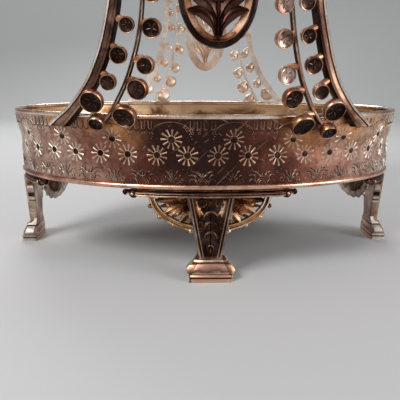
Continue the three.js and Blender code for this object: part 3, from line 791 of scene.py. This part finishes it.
def panel_plant(shape):
    """The relief plant: a stem through three tiers of arches, a drop at its foot and leaves at its top."""
    shape.stroke([(0, z) for z in spread(FOOT_TOP + 5.2, LEG_TOP - 1.2, 5)], 0.35, 0.8, 2)
    shape.origin = (0, FOOT_TOP)
    for tier in range(3):
        for reach, width, height, look in ((3 + 0.2 * tier, 0.55, 1.2, 3), (1.7, 0.35, 0.9, 4)):
            arch = half_round(0, 11.3 + 5 * tier - reach, reach, reach, 14)
            shape.stroke(arch, swelling(width), height, look)
    drop = [(1.45 * sin(t) * (1 - 0.25 * cos(t)), 2 - 2.9 * cos(t)) for t in full_turn(18)]
    shape.stroke(drop, 0.4, 1, 3, closed=True)
    shape.leaf((0, 0.1), (0, 3.9), 0.5, 0.7, look=3)
    shape.origin = (0, LEG_TOP)
    for hand in (-1, 1):
        shape.stroke(ellipse(hand * 4.1, -2.6, 1.9, 2.1, 14), 0.45, 0.9, 2, closed=True)
        shape.stroke([(-hand * 2.4, -0.6), (0, -2.8), (hand * 2.6, -5.6)], 0.22, 0.7, 4)
        shape.stroke(ellipse(hand * 4.9, -13.5, 0.9, 1.7, 12), 0.3, 0.8, 3, closed=True)
    shape.leaf_pair((5.2, -9.6), (7.4, -0.8), 1.1, 0.9, 0.04, 4)
    shape.leaf_pair((3.4, -8.4), (5.6, -5.2), 0.7, 0.8, -0.1, 4)


def leg_panel():
    """The tapered panel: two ribs down each side and a relief plant on a sunk field."""
    shape = Shape(flat_at(PANEL_FIELD))
    heights = spread(FOOT_TOP - 1.8, LEG_TOP + 0.5, 8)
    for hand in (-1, 1):
        panel_sides(shape, hand, heights)
    plate = []
    for z in heights:
        half = panel_half(z) - 1.2
        plate.append([(-3, -half, z), (PANEL_FIELD, -half, z), (PANEL_FIELD, half, z), (-3, half, z)])
    shape.loft(plate, [0, 1, 0, 0])
    panel_plant(shape)
    return shape


# A level is how far it stands over the foot's top, its half width, inner and outer reach and how
# much of its corners is cut off. The looks go round a level, with others in the collar and grooves
FOOT_LEVELS = [(1.3, 6.2, -3.8, -1.2, 1), (-0.4, 6.8, -3.9, -0.9, 1.4), (-1.2, 7.3, -4, 0.4, 1.7),
               (-1.7, 7.8, -4, 2.2, 1.8), (-2.5, 8.3, -4, 2.8, 2.2), (-2.9, 8.2, -3.8, 2.4, 2.4),
               (-3.2, 8.5, -3.8, 2.5, 2.5), (-3.5, 9.1, -3.9, 3, 2.6), (-4.3, 10.1, -3.9, 3.4, 3),
               (-5.6, 11.4, -3.8, 4, 3.5), (-6.6, 11.7, -3.7, 4.4, 3.3), (-7.3, 11.3, -3.6, 4.5, 2.8),
               (-8, 10.7, -3.4, 4.6, 1.6), (-8.3, 10.1, -3.3, 4.5, 0.9), (-8.6, 10.3, -3.4, 4.9, 0.8),
               (-9.2, 10.4, -3.4, 5.1, 0.8), (-9.7, 10.2, -3.4, 4.9, 0.8), (-10, 9.8, -3.2, 4.5, 0.8),
               (-10.3, 10.1, -3.4, 4.9, 0.8), (-12, 10.3, -3.4, 5.3, 0.9)]
FOOT_LOOKS = [1, 1, 4, 0, 4, 1, 1, 0]
FOOT_COLLAR_STEPS = (0, 1, 2, 3)
FOOT_GROOVE_STEPS = (4, 5, 12, 16, 17)


def foot_look(step, side):
    if step in FOOT_GROOVE_STEPS:
        return 2
    return 3 if step in FOOT_COLLAR_STEPS and FOOT_LOOKS[side] == 0 else FOOT_LOOKS[side]


def leg_foot():
    """The stepped foot with cut corners, dark in its grooves."""
    shape = Shape()
    rings = []
    for rise, half, inner, outer, corner in FOOT_LEVELS:
        z = FOOT_TOP + rise
        deep = corner * 0.45
        side = [(inner, half - corner), (inner + deep, half), (outer - deep, half), (outer, half - corner)]
        rings.append([(x, -y, z) for x, y in side] + [(x, y, z) for x, y in reversed(side)])
    shape.loft(rings, foot_look)
    return shape


# The fan's band as (outwards from its middle, out) and the look of each side
FAN_SECTION = [(-1.7, -0.8), (1.7, -0.8), (1.7, 0.3), (1.3, 0.95), (0.7, 0.95), (0.2, 0.3),
               (-0.2, 0.3), (-0.7, 0.95), (-1.3, 0.95), (-1.7, 0.3)]
FAN_SECTION_LOOKS = [0, 0, 1, 1, 0, 0, 0, 1, 1, 0]
FAN_BAND_HALF = 1.7
FAN_LEAVES = 8


def leg_fan(spot):
    """The half-round fan: a double-ridged band with beads outside and leaves and curls inside."""
    shape = Shape(flat_at(0))
    low, high = node_box(f"leg_fan_{spot}")
    half = max(high.x - low.x, high.y - low.y) / 2
    spring = node_box(f"leg_cornice_{spot}")[0].z
    shape.origin = (0, spring)

    def at(scale, angle):
        return (scale * half * cos(angle), scale * (spring - low.z) * sin(angle))

    def arc(scale, steps):
        return [at(scale, angle) for angle in spread(pi, TAU, steps)]

    path = [(0, u, spring + v) for u, v in arc((half - FAN_BAND_HALF) / half, 40)]
    sweep(shape, path, OUT, FAN_SECTION, FAN_SECTION_LOOKS)
    for k, angle in enumerate(spread(pi, TAU, 10)[1:-1]):
        shape.bead(*polar(at(1, angle), 0.5, angle), 1.15, k % 2, 0.1)
    shape.stroke(arc(0.36, 18), 0.9, 1)
    shape.stroke(arc(0.24, 18), 0.6, 0.9, 1)
    shape.stroke([(1 - half, 1), (0, 1), (half - 1, 1)], 1.3, 0.8)
    for k in range(FAN_LEAVES):
        angle = pi * (1 + (k + 0.5) / FAN_LEAVES)
        shape.leaf(at(0.34, angle), at(0.92, angle), 2.3, 1)
        shape.leaf(at(0.4, angle), at(0.86, angle), 0.8, 1.7, look=1)
        for hand in (-1, 1):
            bow = 0.16 * hand
            shape.leaf(at(0.5, angle), at(0.88, angle + hand * 0.17), 1.1, 0.9, bow)
            shape.leaf(at(0.55, angle + hand * 0.06), at(0.84, angle + hand * 0.15), 0.35, 1.4, bow, 1)
    for between in spread(pi, TAU, FAN_LEAVES)[1:-1]:
        shape.stroke([at(0.36, between), at(0.5, between), at(0.66, between)], 0.45, 0.8)
        shape.bead(*at(0.74, between), 1, 1, 0.2)
        for hand in (-1, 1):
            curl = scroll(at(0.6, between + hand * 0.1), 1.5, between + pi, 0.7 * hand, 12)
            shape.stroke(curl, 0.45, 1.1, 1)
    return shape


# The cornice's section as (out, height), drawn 4 mm high, and the look of each of its sides
CORNICE_SECTION = [(-2.2, -2), (-2.2, 2), (1.9, 2), (2.2, 1.6), (1.5, 1.1), (1.2, 0.5), (1.3, 0.2),
                   (2.1, 0.1), (2.4, -0.25), (2.1, -0.6), (1.5, -0.75), (1.5, -1), (2.3, -1.1),
                   (2.6, -1.5), (2.3, -2)]
CORNICE_LOOKS = [0, 0, 0, 1, 1, 1, 1, 2, 2, 1, 1, 1, 2, 2, 0]
CORNICE_REACH = 41.5


def leg_cornice(spot):
    """The moulded bar under the tray's edge, with a large, a middle and a small ball at each end."""
    shape = Shape()
    low, high = node_box(f"leg_cornice_{spot}")
    height = (low.z + high.z) / 2
    squeeze = (high.z - low.z) / 4
    inset = BOTTOM_INSET + 2.25
    across = (TRAY_HALF_WIDTH if spot in ("front", "back") else TRAY_HALF_DEPTH) - BOTTOM_INSET
    middle = LEG_SPOTS[spot]
    turn = math.asin(CORNICE_REACH / across)

    def section(t):
        end = min(1, 0.5 + 5 * min(t, 1 - t))
        return [(o * end, z * squeeze * end) for o, z in CORNICE_SECTION]

    path = [oval_point(inset, angle, height) for angle in spread(middle - turn, middle + turn, 36)]
    sweep(shape, path, UP, section, CORNICE_LOOKS)
    for hand in (-1, 1):
        for share, forward, down, radius, look in ((0.89, 0.5, 0.7, 2.2, 1), (0.99, 0.5, 0.1, 1.5, 1),
                                                   (0.89, 2.2, 0.6, 0.9, 2)):
            place = oval_point(inset - forward, middle + hand * turn * share, height - down)
            shape.ball(place, radius, look)
    return shape


def legs():
    for spot in LEG_SPOTS:
        node = f"leg_cornice_{spot}"
        make_piece(f"cornice_{spot}", leg_cornice(spot), [RELIEF, ARM, EDGE], "warm_silver", node)
        fan_looks = [FAN, FAN_EDGE] if spot in ("front", "back") else [LEG, BEVEL]
        panel_looks = [LEG, CUP_FACE, RELIEF, EDGE, FAN_EDGE, BEVEL]
        # Each casting has the depth of its own x = 0 behind its outer side, its looks and its slot
        castings = [("fan", leg_fan(spot), 0.8, fan_looks, "warm_silver"),
                    ("panel", leg_panel(), 1.8, panel_looks, "warm_silver"),
                    ("foot", leg_foot(), 5.4, [FOOT, BEVEL, CUP_FACE, LEG, RELIEF], "pale_silver")]
        for part, shape, depth, looks, slot in castings:
            node = f"leg_{part}_{spot}"
            make_piece(f"{part}_{spot}", shape.moved(leg_matrix(node, spot, depth)), looks, slot, node)


# The two supports, drawn flat in x and z and wrapped on an oval outside the tray's rim

def outwards(point):
    return Vector((point[0] / SUPPORT_HALF_WIDTH ** 2, point[1] / SUPPORT_HALF_DEPTH ** 2, 0)).normalized()


@dataclass
class Side:
    """One support: its side of the tray, its cups' size, at heights its size, lean and cups' rise, and
    its medallion's middle x and z, half width and half drop."""
    name: str
    sign: int
    cup_size: float
    size: list
    lean: list
    rise: list
    medallion: tuple

    def on_oval(self, x, z, out):
        """A place on the oval, out millimetres outside it."""
        y = self.sign * SUPPORT_HALF_DEPTH * math.sqrt(1 - (x / SUPPORT_HALF_WIDTH) ** 2)
        point = Vector((x, y, z))
        return point + outwards(point) * out

    def half(self, hand):
        """The surface that one half of the support is drawn on."""
        def place(x, z, out):
            return self.on_oval(hand * interpolate(self.size, z) * x + interpolate(self.lean, z), z, out)
        return place

    def in_medallion(self, u, v, out):
        """A place in the medallion, from its middle, drawn on the front one's size."""
        x, z, half_width, half_drop = self.medallion
        front = SIDES[0].medallion
        return self.on_oval(x + u * half_width / front[2], z + v * half_drop / front[3], out)


SIDES = [
    Side("front", -1, 1, [(74, 1), (RING_BOTTOM, 1)],
         [(74, 0.4), (110, 1.8), (130, 1.8), (RING_BOTTOM, 0)],
         [(74, 0), (RING_BOTTOM, 0)], (2, 130, 17, 23.4)),
    Side("back", 1, 1.1, [(78, 0.82), (90, 0.78), (98, 0.745), (112, 0.7), (130, 0.67), (141, 0.63),
                          (151, 0.57), (RING_BOTTOM, 0.62)],
         [(74, 3.2), (130, 3.2), (RING_BOTTOM, 0)],
         [(74, 0), (75, 5), (88, 2.5), (100, 2), (113, -0.5), (130, 0)], (2.6, 126.7, 14.6, 26.6)),
]

# The middles of the right arm and stem from their toes up, as (x, z)
ARM_LINE = [(73.6, 70.8), (70.2, 74), (66.6, 77.2), (62.8, 81), (58.2, 86.5), (54.2, 92.5), (51.6, 98),
            (49, 104.5), (47, 111), (44.9, 119.5), (43.5, 127), (43, 136), (44.6, 147), (48.6, 157),
            (54.4, 168)]
STEM_LINE = [(49.4, 74.6), (46.9, 77.3), (44.3, 81), (42.3, 85), (39.8, 90), (37.6, 95.5), (35.9, 101),
             (34.5, 106), (33.2, 112), (32.1, 118.5), (31.3, 126), (31.3, 133), (32.4, 141), (35, 147.5),
             (38.9, 153), (43.2, 156.2)]
ARM_FOOT = 72.6
ARM_POINTS = smooth_line(ARM_LINE, 80)
STEM_POINTS = smooth_line(STEM_LINE, 60)

# The cups as (x, z, radius) of their open faces: the outer ones grow from the arm, the inner ones
# and the last of them, at the stem's end, from the stem
OUTER_CUPS = [(53.4, 81.8, 5.5), (45.9, 90.4, 3.7), (41.4, 101.8, 3.9), (37.8, 114, 3.4), (36.6, 127.5, 3.4),
              (37.8, 137, 3), (40, 145, 2.4)]
INNER_CUPS = [(38.8, 75.4, 5.6), (33.5, 87.5, 4.8), (30.2, 97.5, 3.9), (27.7, 112.5, 4.1), (27.2, 126.5, 4),
              (28.4, 139.5, 3.8), (51.2, 72.2, 3.8)]
CUP_LIFT = 1.95
CUP_SPREAD = 0.4
CUP_FACE_OUT = 4.2
CUP_DEPTH = 5

# Half a cup from its back outwards, as shares of its face's radius and of its depth
CUP_PROFILE = [(0, 0), (0.5, 0.02), (0.76, 0.1), (0.9, 0.25), (0.97, 0.42), (1, 0.6), (1, 0.8),
               (0.99, 0.93), (0.94, 1), (0.88, 0.98), (0.82, 0.86), (0.6, 0.77), (0.3, 0.72), (0, 0.71)]
CUP_BODY_STEPS = 9
CUP_PETALS = 5
PETAL_LEVEL = 0.73

# How far the cups tilt from straight out, and how far towards their stem, at heights
CUP_TILT = [(72, 0.75), (78, 0.6), (90, 0.3), (112, 0.25), (150, 0.2)]
CUP_TURN = [(78, 0.1), (90, 0.55)]
NECK_RISE = 1.8

# The right stem's cups above this height have pale faces
LIT_FROM = 94


def flower_cup(shape, side, hand, cup, line):
    """A bell-shaped cup on its neck, facing outwards and down, and higher up towards its stem."""
    flat_x, flat_z, size = cup
    place = side.half(hand)
    x = flat_x + hand * CUP_SPREAD
    z = flat_z - hand * CUP_LIFT + interpolate(side.rise, flat_z)
    radius = size * side.cup_size * interpolate(side.size, z)
    centre = place(x, z, CUP_FACE_OUT)
    stem_x = min(STEM_POINTS, key=lambda point: abs(point[1] - z))[0]
    inwards = (place(stem_x, z, 0) - place(x, z, 0)).normalized()
    tilt = interpolate(CUP_TILT, z)
    sideways = (inwards * interpolate(CUP_TURN, z) - UP).normalized()
    axis = (outwards(centre) * cos(tilt) + sideways * sin(tilt)).normalized()
    back = centre - axis * CUP_DEPTH
    # A cup's face takes CUP_FACE, painted shade, and the right stem's upper cups take LIT_FACE, painted
    # light
    face_look = 5 if line is STEM_POINTS and hand > 0 and z > LIT_FROM else 2
    looks = [3] * CUP_BODY_STEPS + [face_look] * (len(CUP_PROFILE) - CUP_BODY_STEPS)
    shape.lathe([(r * radius, h * CUP_DEPTH) for r, h in CUP_PROFILE], 24, back, axis, looks)
    across = axis.cross(UP).normalized()
    rise = across.cross(axis)

    def face(u, v, lift):
        dish = PETAL_LEVEL * CUP_DEPTH + 0.3 * hypot(u, v) / radius
        return back + across * u + rise * v + axis * (dish + lift)

    shape.surface = face
    for k in range(CUP_PETALS):
        angle = TAU * (k + 0.3) / CUP_PETALS + flat_z
        root, tip = [polar((0, 0), share * radius, angle) for share in (0.12, 0.68)]
        shape.leaf(root, tip, 0.05 * radius, 0.12, look=4)
    root_x, root_z = min(line, key=lambda point: math.dist(point, (x, z + NECK_RISE)))
    root = place(root_x, root_z, 0.9)
    end = back + axis * 0.4
    bend = (root + end) / 2 + UP * 1.2
    neck = smooth_line([tuple(root), tuple(bend), tuple(end)], 6)
    sweep(shape, neck, outwards, lambda t: circle(1.3 + 0.9 * t), 3)


# The arm's section as (towards its outer edge, out) and the look of each side
ARM_SECTION = [(-2.7, -1.5), (2.7, -1.5), (2.7, 1.6), (2.45, 2.5), (1.9, 2.9), (1.3, 2.6), (1, 2.1),
               (-0.9, 2.3), (-1.3, 2.7), (-1.8, 2.9), (-2.4, 2.5), (-2.7, 1.6)]
# The outer ridge takes the painted highlight, and the ridge's inner flank and the arm's inner edge painted
# shade
ARM_LOOKS = [0, 1, 1, 1, 1, 2, 0, 0, 0, 0, 2, 2]


def support_arm(side, hand):
    """A curved arm with its cups, a ridge along its outer edge in a painted highlight and painted shade on
    its inner edge, widest at its toe and cut off flat there."""
    shape = Shape()
    place = side.half(hand)
    line = [(x, z) for x, z in ARM_POINTS if z < RING_BOTTOM - 0.3]
    path = [place(x, z, 0) for x, z in line]

    def section(t):
        size = interpolate(side.size, line[round(t * (len(line) - 1))][1]) * max(1, 1.5 - 4 * t)
        return [(-side.sign * hand * s * size, o) for s, o in ARM_SECTION]

    sweep(shape, path, outwards, section, ARM_LOOKS)
    for i, point in enumerate(shape.points):
        if point.z < ARM_FOOT:
            step = i // len(ARM_SECTION)
            along = path[step + 1] - path[step]
            point += along * ((ARM_FOOT - point.z) / along.z)
    for cup in OUTER_CUPS:
        flower_cup(shape, side, hand, cup, ARM_POINTS)
    return shape


# One chamfer of the stem takes the painted highlight, and the other chamfer and both side walls painted
# shade
STEM_SECTION = [(-0.7, -0.6), (0.7, -0.6), (0.7, 2.1), (0.4, 2.6), (-0.4, 2.6), (-0.7, 2.1)]
STEM_LOOKS = [0, 2, 1, 4, 2, 2]


def flower_stem(side, hand):
    """The stem, a strip on edge, with its own cups."""
    shape = Shape()
    place = side.half(hand)
    path = [place(x, z, 0) for x, z in STEM_POINTS]
    section = [(side.sign * hand * s, o) for s, o in STEM_SECTION]
    sweep(shape, path, outwards, section, STEM_LOOKS)
    for cup in INNER_CUPS:
        flower_cup(shape, side, hand, cup, STEM_POINTS)
    return shape


# The medallion's band as (outwards from its middle, out) and the look of each side
BAND_SECTION = [(-3.5, -1.5), (1.8, -1.5), (1.8, 0.6), (1.5, 1.3), (0.9, 1.6), (-0.5, 1.6), (-0.9, 1.3),
                (-1.3, 0.5), (-3.3, -0.8)]
BAND_LOOKS = [0, 0, 0, 0, 0, 0, 1, 1, 1]
BAND_HALF = 1.8


def medallion_ring(side):
    """A dark band round a bright bevel."""
    shape = Shape()
    x, z, half_width, half_drop = side.medallion
    line = ellipse(x, z, half_width - BAND_HALF, half_drop - BAND_HALF, 96)
    path = [side.on_oval(u, v, 0) for u, v in line]
    section = [(-side.sign * s, o) for s, o in BAND_SECTION]
    sweep(shape, path, outwards, section, BAND_LOOKS, looped=True)
    return shape


# The medallion leaf's lobes: their root's height, how far aside and how high their tip is, half
# their width and their bow
LOBES = [(-16.4, 12.6, -7.6, 2.9, 0.2), (-10.6, 12.6, -1.6, 3.7, 0.16), (-4.4, 12.6, 5.2, 3.8, 0.14),
         (2.6, 10.4, 12, 3.5, 0.12), (8.4, 5, 16.8, 2.4, 0.08)]


def medallion_leaf(side):
    """The broad leaf in the medallion, whose lowest lobes leave two almond openings by the band."""
    shape = Shape(side.in_medallion)
    rib = [(0, v) for v in spread(-19.4, 18, 12)]
    shape.stroke(rib, lambda t: 0.7 + 0.7 * sin(pi * t), 1.6)
    for root, reach, tip, half, bow in LOBES:
        shape.leaf_pair((0.5, root), (reach, tip), half, 1.3, bow)
        for lift, width in ((0.2, 0.168), (-1.1, 0.096)):
            shape.leaf_pair((1.2, root + 0.6 + lift), (0.94 * reach, tip + 0.3 + lift), width * half, 2.1,
                            bow, 1)
    shape.leaf_pair((0.5, -19.2), (7.4, -16.4), 1.5, 1.2, -0.16, 2)
    shape.leaf_pair((1.4, -18), (2.6, -8), 1.6, 1.5, 0.06)
    shape.leaf((0, 8), (0, 18.4), 2.2, 1.5)
    shape.leaf((0, -11), (0, -20.4), 1.7, 1.7)
    return shape


def medallion_yoke(side):
    """The scrolled bar over the medallion, from stem to stem."""
    low = 148.6
    top = low + 7.6
    reach = 33.5
    size = interpolate(side.size, low)
    lean = interpolate(side.lean, low)

    def place(u, v, out):
        return side.on_oval(u * size + lean, v, out)

    shape = Shape(place)
    path = []
    for t in spread(-1, 1, 32):
        z = low + (top - low) * cos(t * pi / 2) ** 0.8
        path.append(side.on_oval(reach * size * t + interpolate(side.lean, z), z, 0))
    sweep(shape, path, outwards, circle(1.5))
    for hand in (-1, 1):
        shape.stroke(scroll((hand * 12, top - 5.2), 3.2, pi / 2, -hand * 1.3, 24), 0.8, 1)
    shape.bead(0, top + 1.4, 1.7, 1)
    return shape


def supports():
    # The looks of the arms and stems, of the medallion's band and of its leaf: dark for the front support,
    # and pale, painted lit copies for the back one
    dark = ([WORN_ARM, ARM_HIGHLIGHT, CUP_FACE, COPPER, STEM_EDGE, LIT_FACE], [CUP_FACE, COPPER_BEVEL],
            [ARM, EDGE, COPPER_BEVEL])
    pale = ([PAINTED_LIT_ARM, PAINTED_LIT_ARM, PAINTED_LIT_PEACH, PAINTED_LIT_PEACH, PAINTED_LIT_ARM, PAINTED_LIT_PEACH], [PAINTED_LIT_PEACH, PAINTED_LIT_ARM], [PAINTED_LIT_PEACH, PAINTED_LIT_ARM, PAINTED_LIT_PEACH])
    for side, (cast, band, plant) in zip(SIDES, (dark, pale)):
        for hand_name, hand in HANDS:
            place = f"{side.name}_{hand_name}"
            for name, node, draw in (("arm", "support_arm", support_arm),
                                     ("stem", "flower_stem", flower_stem)):
                make_piece(f"{name}_{place}", draw(side, hand), cast, "dark_silver", f"{node}_{place}")
        for name, node, draw, looks, slot in (
                ("medallion", "medallion_ring", medallion_ring, band, "dark_silver"),
                ("acanthus", "medallion_leaf", medallion_leaf, plant, "warm_silver"),
                ("yoke", "medallion_yoke", medallion_yoke, [cast[0], cast[3]], "dark_silver")):
            make_piece(f"{name}_{side.name}", draw(side), looks, slot, f"{node}_{side.name}")


# The bowl's ring, its lugs and pins, the bail and the glass

ROPE_TWISTS = 64


def bowl_ring():
    """The ring that carries the bowl, with a rope edge."""
    shape = Shape()
    low, high = node_box("bowl_ring")
    outer = high.x
    inner = 80
    profile = [(inner, low.z), (outer - 0.8, low.z), (outer, low.z + 0.9), (outer - 0.3, low.z + 1.6),
               (outer - 1.2, low.z + 2.1), (outer - 1.6, high.z - 0.5), (outer - 2.4, high.z),
               (inner, high.z)]
    rings = []
    for angle in full_turn(3 * ROPE_TWISTS):
        rope = 0.22 * cos(ROPE_TWISTS * angle)
        ring = []
        for k, (radius, z) in enumerate(profile):
            r = radius + (rope if k in (2, 3) else 0)
            ring.append((*polar((0, 0), r, angle), z))
        rings.append(ring)
    shape.loft(rings, looped=True)
    make_piece("ring", shape, [SILVER], "pale_silver", "bowl_ring")


def side_box(node):
    """A side piece's lowest and highest corner, and its inner and outer reach."""
    low, high = node_box(node)
    return low, high, min(abs(low.x), abs(high.x)), max(abs(low.x), abs(high.x))


def handle_lug(name, hand):
    shape = Shape()
    low, high, inner, outer = side_box(f"handle_lug_{name}")
    half = high.y
    pivot = high.z - half
    outline = [(-half * 0.7, low.z), (half * 0.7, low.z), (half, low.z + 2.5)]
    outline += [(half * cos(t), pivot + half * sin(t)) for t in spread(0, pi, 12)]
    outline += [(-half, low.z + 2.5)]
    rings = []
    for x, scale in ((inner - 0.6, 1), (outer - 0.5, 1), (outer, 0.92)):
        rings.append([(hand * x, y * scale, pivot + (z - pivot) * scale) for y, z in outline])
    shape.loft(rings)
    make_piece(f"lug_{name}", shape, [SILVER], "pale_silver", f"handle_lug_{name}")


PIN_RADIUS = 1.7
PIN_HEAD = 3.2


def pivot_pin(name, hand):
    """A pin with a riveted head at its outer end."""
    shape = Shape()
    low, high, inner, outer = side_box(f"pivot_pin_{name}")
    length = outer - inner
    profile = [(0, 0), (PIN_RADIUS, 0), (PIN_RADIUS, length - 1.4), (PIN_HEAD, length - 1.4),
               (PIN_HEAD, length - 0.9), (PIN_HEAD * 0.8, length - 0.3), (PIN_HEAD * 0.4, length),
               (0, length)]
    shape.lathe(profile, 28, Vector((hand * inner, 0, (low.z + high.z) / 2)), OUT * hand)
    make_piece(f"pin_{name}", shape, [SILVER], "pale_silver", f"pivot_pin_{name}")


PIVOT_HEIGHT = 168
EYE_THICKNESS = 3.2
EYE_HOLE = 2
EYE_RADIUS = 6
EYE_EDGE = 0.6
BAIL_LINE = [(108, 185.5), (119, 196), (125, 208), (128, 228), (123, 254), (108, 280), (82, 302), (45, 317),
             (0, 322)]
BAIL_SECTION = [(-1.9, 0), (-1.5, -1.9), (-0.9, -3), (0, -3.2), (0.9, -3), (1.5, -1.9), (1.9, 0),
                (1.3, 1), (1.5, 1.9), (0.9, 3), (0, 3.2), (-0.9, 3), (-1.5, 1.9), (-1.3, 1)]


def bail():
    """The swinging handle: a ribbed bar with an eye at each end."""
    shape = Shape()
    pin_inner = node_box("handle_lug_right")[1].x + 0.3
    eye_x = pin_inner + EYE_THICKNESS / 2
    half = [(eye_x, 0, PIVOT_HEIGHT + 4.4), (eye_x + 3.4, 0, 177.5)] + [(x, 0, z) for x, z in BAIL_LINE]
    whole = half + [(-x, 0, z) for x, y, z in reversed(half[:-1])]
    sweep(shape, smooth_line(whole, 160), Vector((0, 1, 0)), BAIL_SECTION)
    eye = [(EYE_HOLE, 0), (EYE_RADIUS - EYE_EDGE, 0), (EYE_RADIUS, EYE_EDGE),
           (EYE_RADIUS, EYE_THICKNESS - EYE_EDGE), (EYE_RADIUS - EYE_EDGE, EYE_THICKNESS),
           (EYE_HOLE, EYE_THICKNESS)]
    for hand in (-1, 1):
        rings = []
        for radius, out in eye:
            rings.append([(hand * (pin_inner + out), y, PIVOT_HEIGHT + z) for y, z in circle(radius, 32)])
        shape.loft(rings, looped=True)
    make_piece("bail", shape, [SILVER], "pale_silver", "bail_handle", body="bail")


BOWL_PROFILE = [(34, 152), (58, 155.5), (73, 162), (79.2, 169.8), (85, 175.5), (98, 187), (112, 203)]
BOWL_WALL = 2.2
RUFFLES = 12
RUFFLE_DEPTH = 3.4
RUFFLE_START = 178


def bowl_level(radius, z, lift=0):
    """A ring of the bowl, waved more the higher it is."""
    share = max(0, (z - RUFFLE_START) / (BOWL_PROFILE[-1][1] - RUFFLE_START)) ** 1.5
    ring = []
    for angle in full_turn(OUTLINE_STEPS):
        wave = share * RUFFLE_DEPTH * cos(RUFFLES * angle)
        ring.append((*polar((0, 0), radius + 0.5 * wave, angle), z + lift + wave))
    return ring


def glass_bowl():
    """The ruffled bowl, a blown shell that drops through the ring."""
    shape = Shape()
    line = smooth_line(BOWL_PROFILE, 40)
    base = BOWL_PROFILE[0][1]
    rim_radius, rim = line[-1]
    outside = [bowl_level(r, z) for r, z in line]
    inside = [bowl_level(r - BOWL_WALL * 0.75, z, BOWL_WALL * 0.75) for r, z in reversed(line[1:-1])]
    lip = [bowl_level(rim_radius - 0.5, rim, 0.9), bowl_level(rim_radius - 1.4, rim, 1)]
    hub = [bowl_level(r, base + BOWL_WALL + 0.4) for r in (33, 12)]
    foot = [bowl_level(12, base + 0.2)]
    shape.loft(foot + outside + lip + inside + hub)
    make_piece("bowl_glass", shape, [GLASS], "opal_glass", "glass_bowl", body="bowl", sharp=80)


# Stage, light and camera

def stage():
    """A pale floor that curves up into a backdrop."""
    half_width = 4500
    front = -2500
    back = 900
    bend = 500
    top = 2600
    rows = [(front, 0)]
    rows += [(back + bend * sin(t), bend - bend * cos(t)) for t in spread(0, TAU / 4, 12)]
    rows.append((back + bend, top))
    points = [(side * half_width * MM, y * MM, z * MM) for y, z in rows for side in (-1, 1)]
    faces = [(2 * k, 2 * k + 1, 2 * k + 3, 2 * k + 2) for k in range(len(rows) - 1)]
    mesh = bpy.data.meshes.new("sweep")
    mesh.from_pydata(points, [], faces)
    mesh.shade_smooth()
    mesh.materials.append(paper())
    show("sweep", mesh)


def lamp(name, place, size, power):
    """An oblong lamp that shines on the object's middle."""
    data = bpy.data.lights.new(name, "AREA")
    data.shape = "RECTANGLE"
    data.size = size[0] * MM
    data.size_y = size[1] * MM
    data.energy = power
    made = show(name, data)
    made.location = Vector(place) * MM
    made.rotation_euler = (Vector((0, 0, 70)) - Vector(place)).to_track_quat("-Z", "Y").to_euler()


def studio():
    world = bpy.data.worlds.new("studio")
    world.use_nodes = True
    background = world.node_tree.nodes["Background"]
    background.inputs["Color"].default_value = (0.82, 0.83, 0.85, 1)
    background.inputs["Strength"].default_value = 0.5
    bpy.context.scene.world = world
    lamp("key", (-650, -700, 900), (500, 500), 11.5)
    lamp("fill", (800, -500, 350), (500, 600), 5.5)
    lamp("back", (-200, 800, 800), (700, 400), 6.5)
    bpy.context.scene.view_settings.view_transform = "Standard"


def camera():
    """The camera of the picture, found from the tray's rim, base and feet."""
    place = Vector((-11.73, -297.1, 93.75))
    yaw = 0.02907
    pitch = 0.2356
    roll = 0.0041
    forward = Vector((sin(yaw) * cos(pitch), cos(yaw) * cos(pitch), -sin(pitch)))
    right = forward.cross(UP).normalized()
    upright = right.cross(forward)
    rolled_right = right * cos(roll) + upright * sin(roll)
    rolled_up = upright * cos(roll) - right * sin(roll)
    data = bpy.data.cameras.new("camera")
    data.lens = 45
    data.sensor_width = 36
    data.clip_start = 0.01
    made = show("camera", data)
    turn = Matrix((rolled_right, rolled_up, -forward)).transposed().to_4x4()
    made.matrix_world = Matrix.Translation(place * MM) @ turn
    bpy.context.scene.camera = made


tray_wall()
tray_bead("rim_bead", BEAD_RADIUS, RIM_BEAD_HEIGHT, BEAD_RADIUS, ROLLED)
tray_bead("base_bead", BOTTOM_INSET + 0.3, BASE_BEAD_HEIGHT, BEAD_RADIUS + 0.1, PINK)
wall_daisies()
wall_tongues()
wall_sprays()
legs()
supports()
bowl_ring()
for side_name, side_sign in HANDS:
    handle_lug(side_name, side_sign)
    pivot_pin(side_name, side_sign)
bail()
glass_bowl()
stage()
studio()
camera()
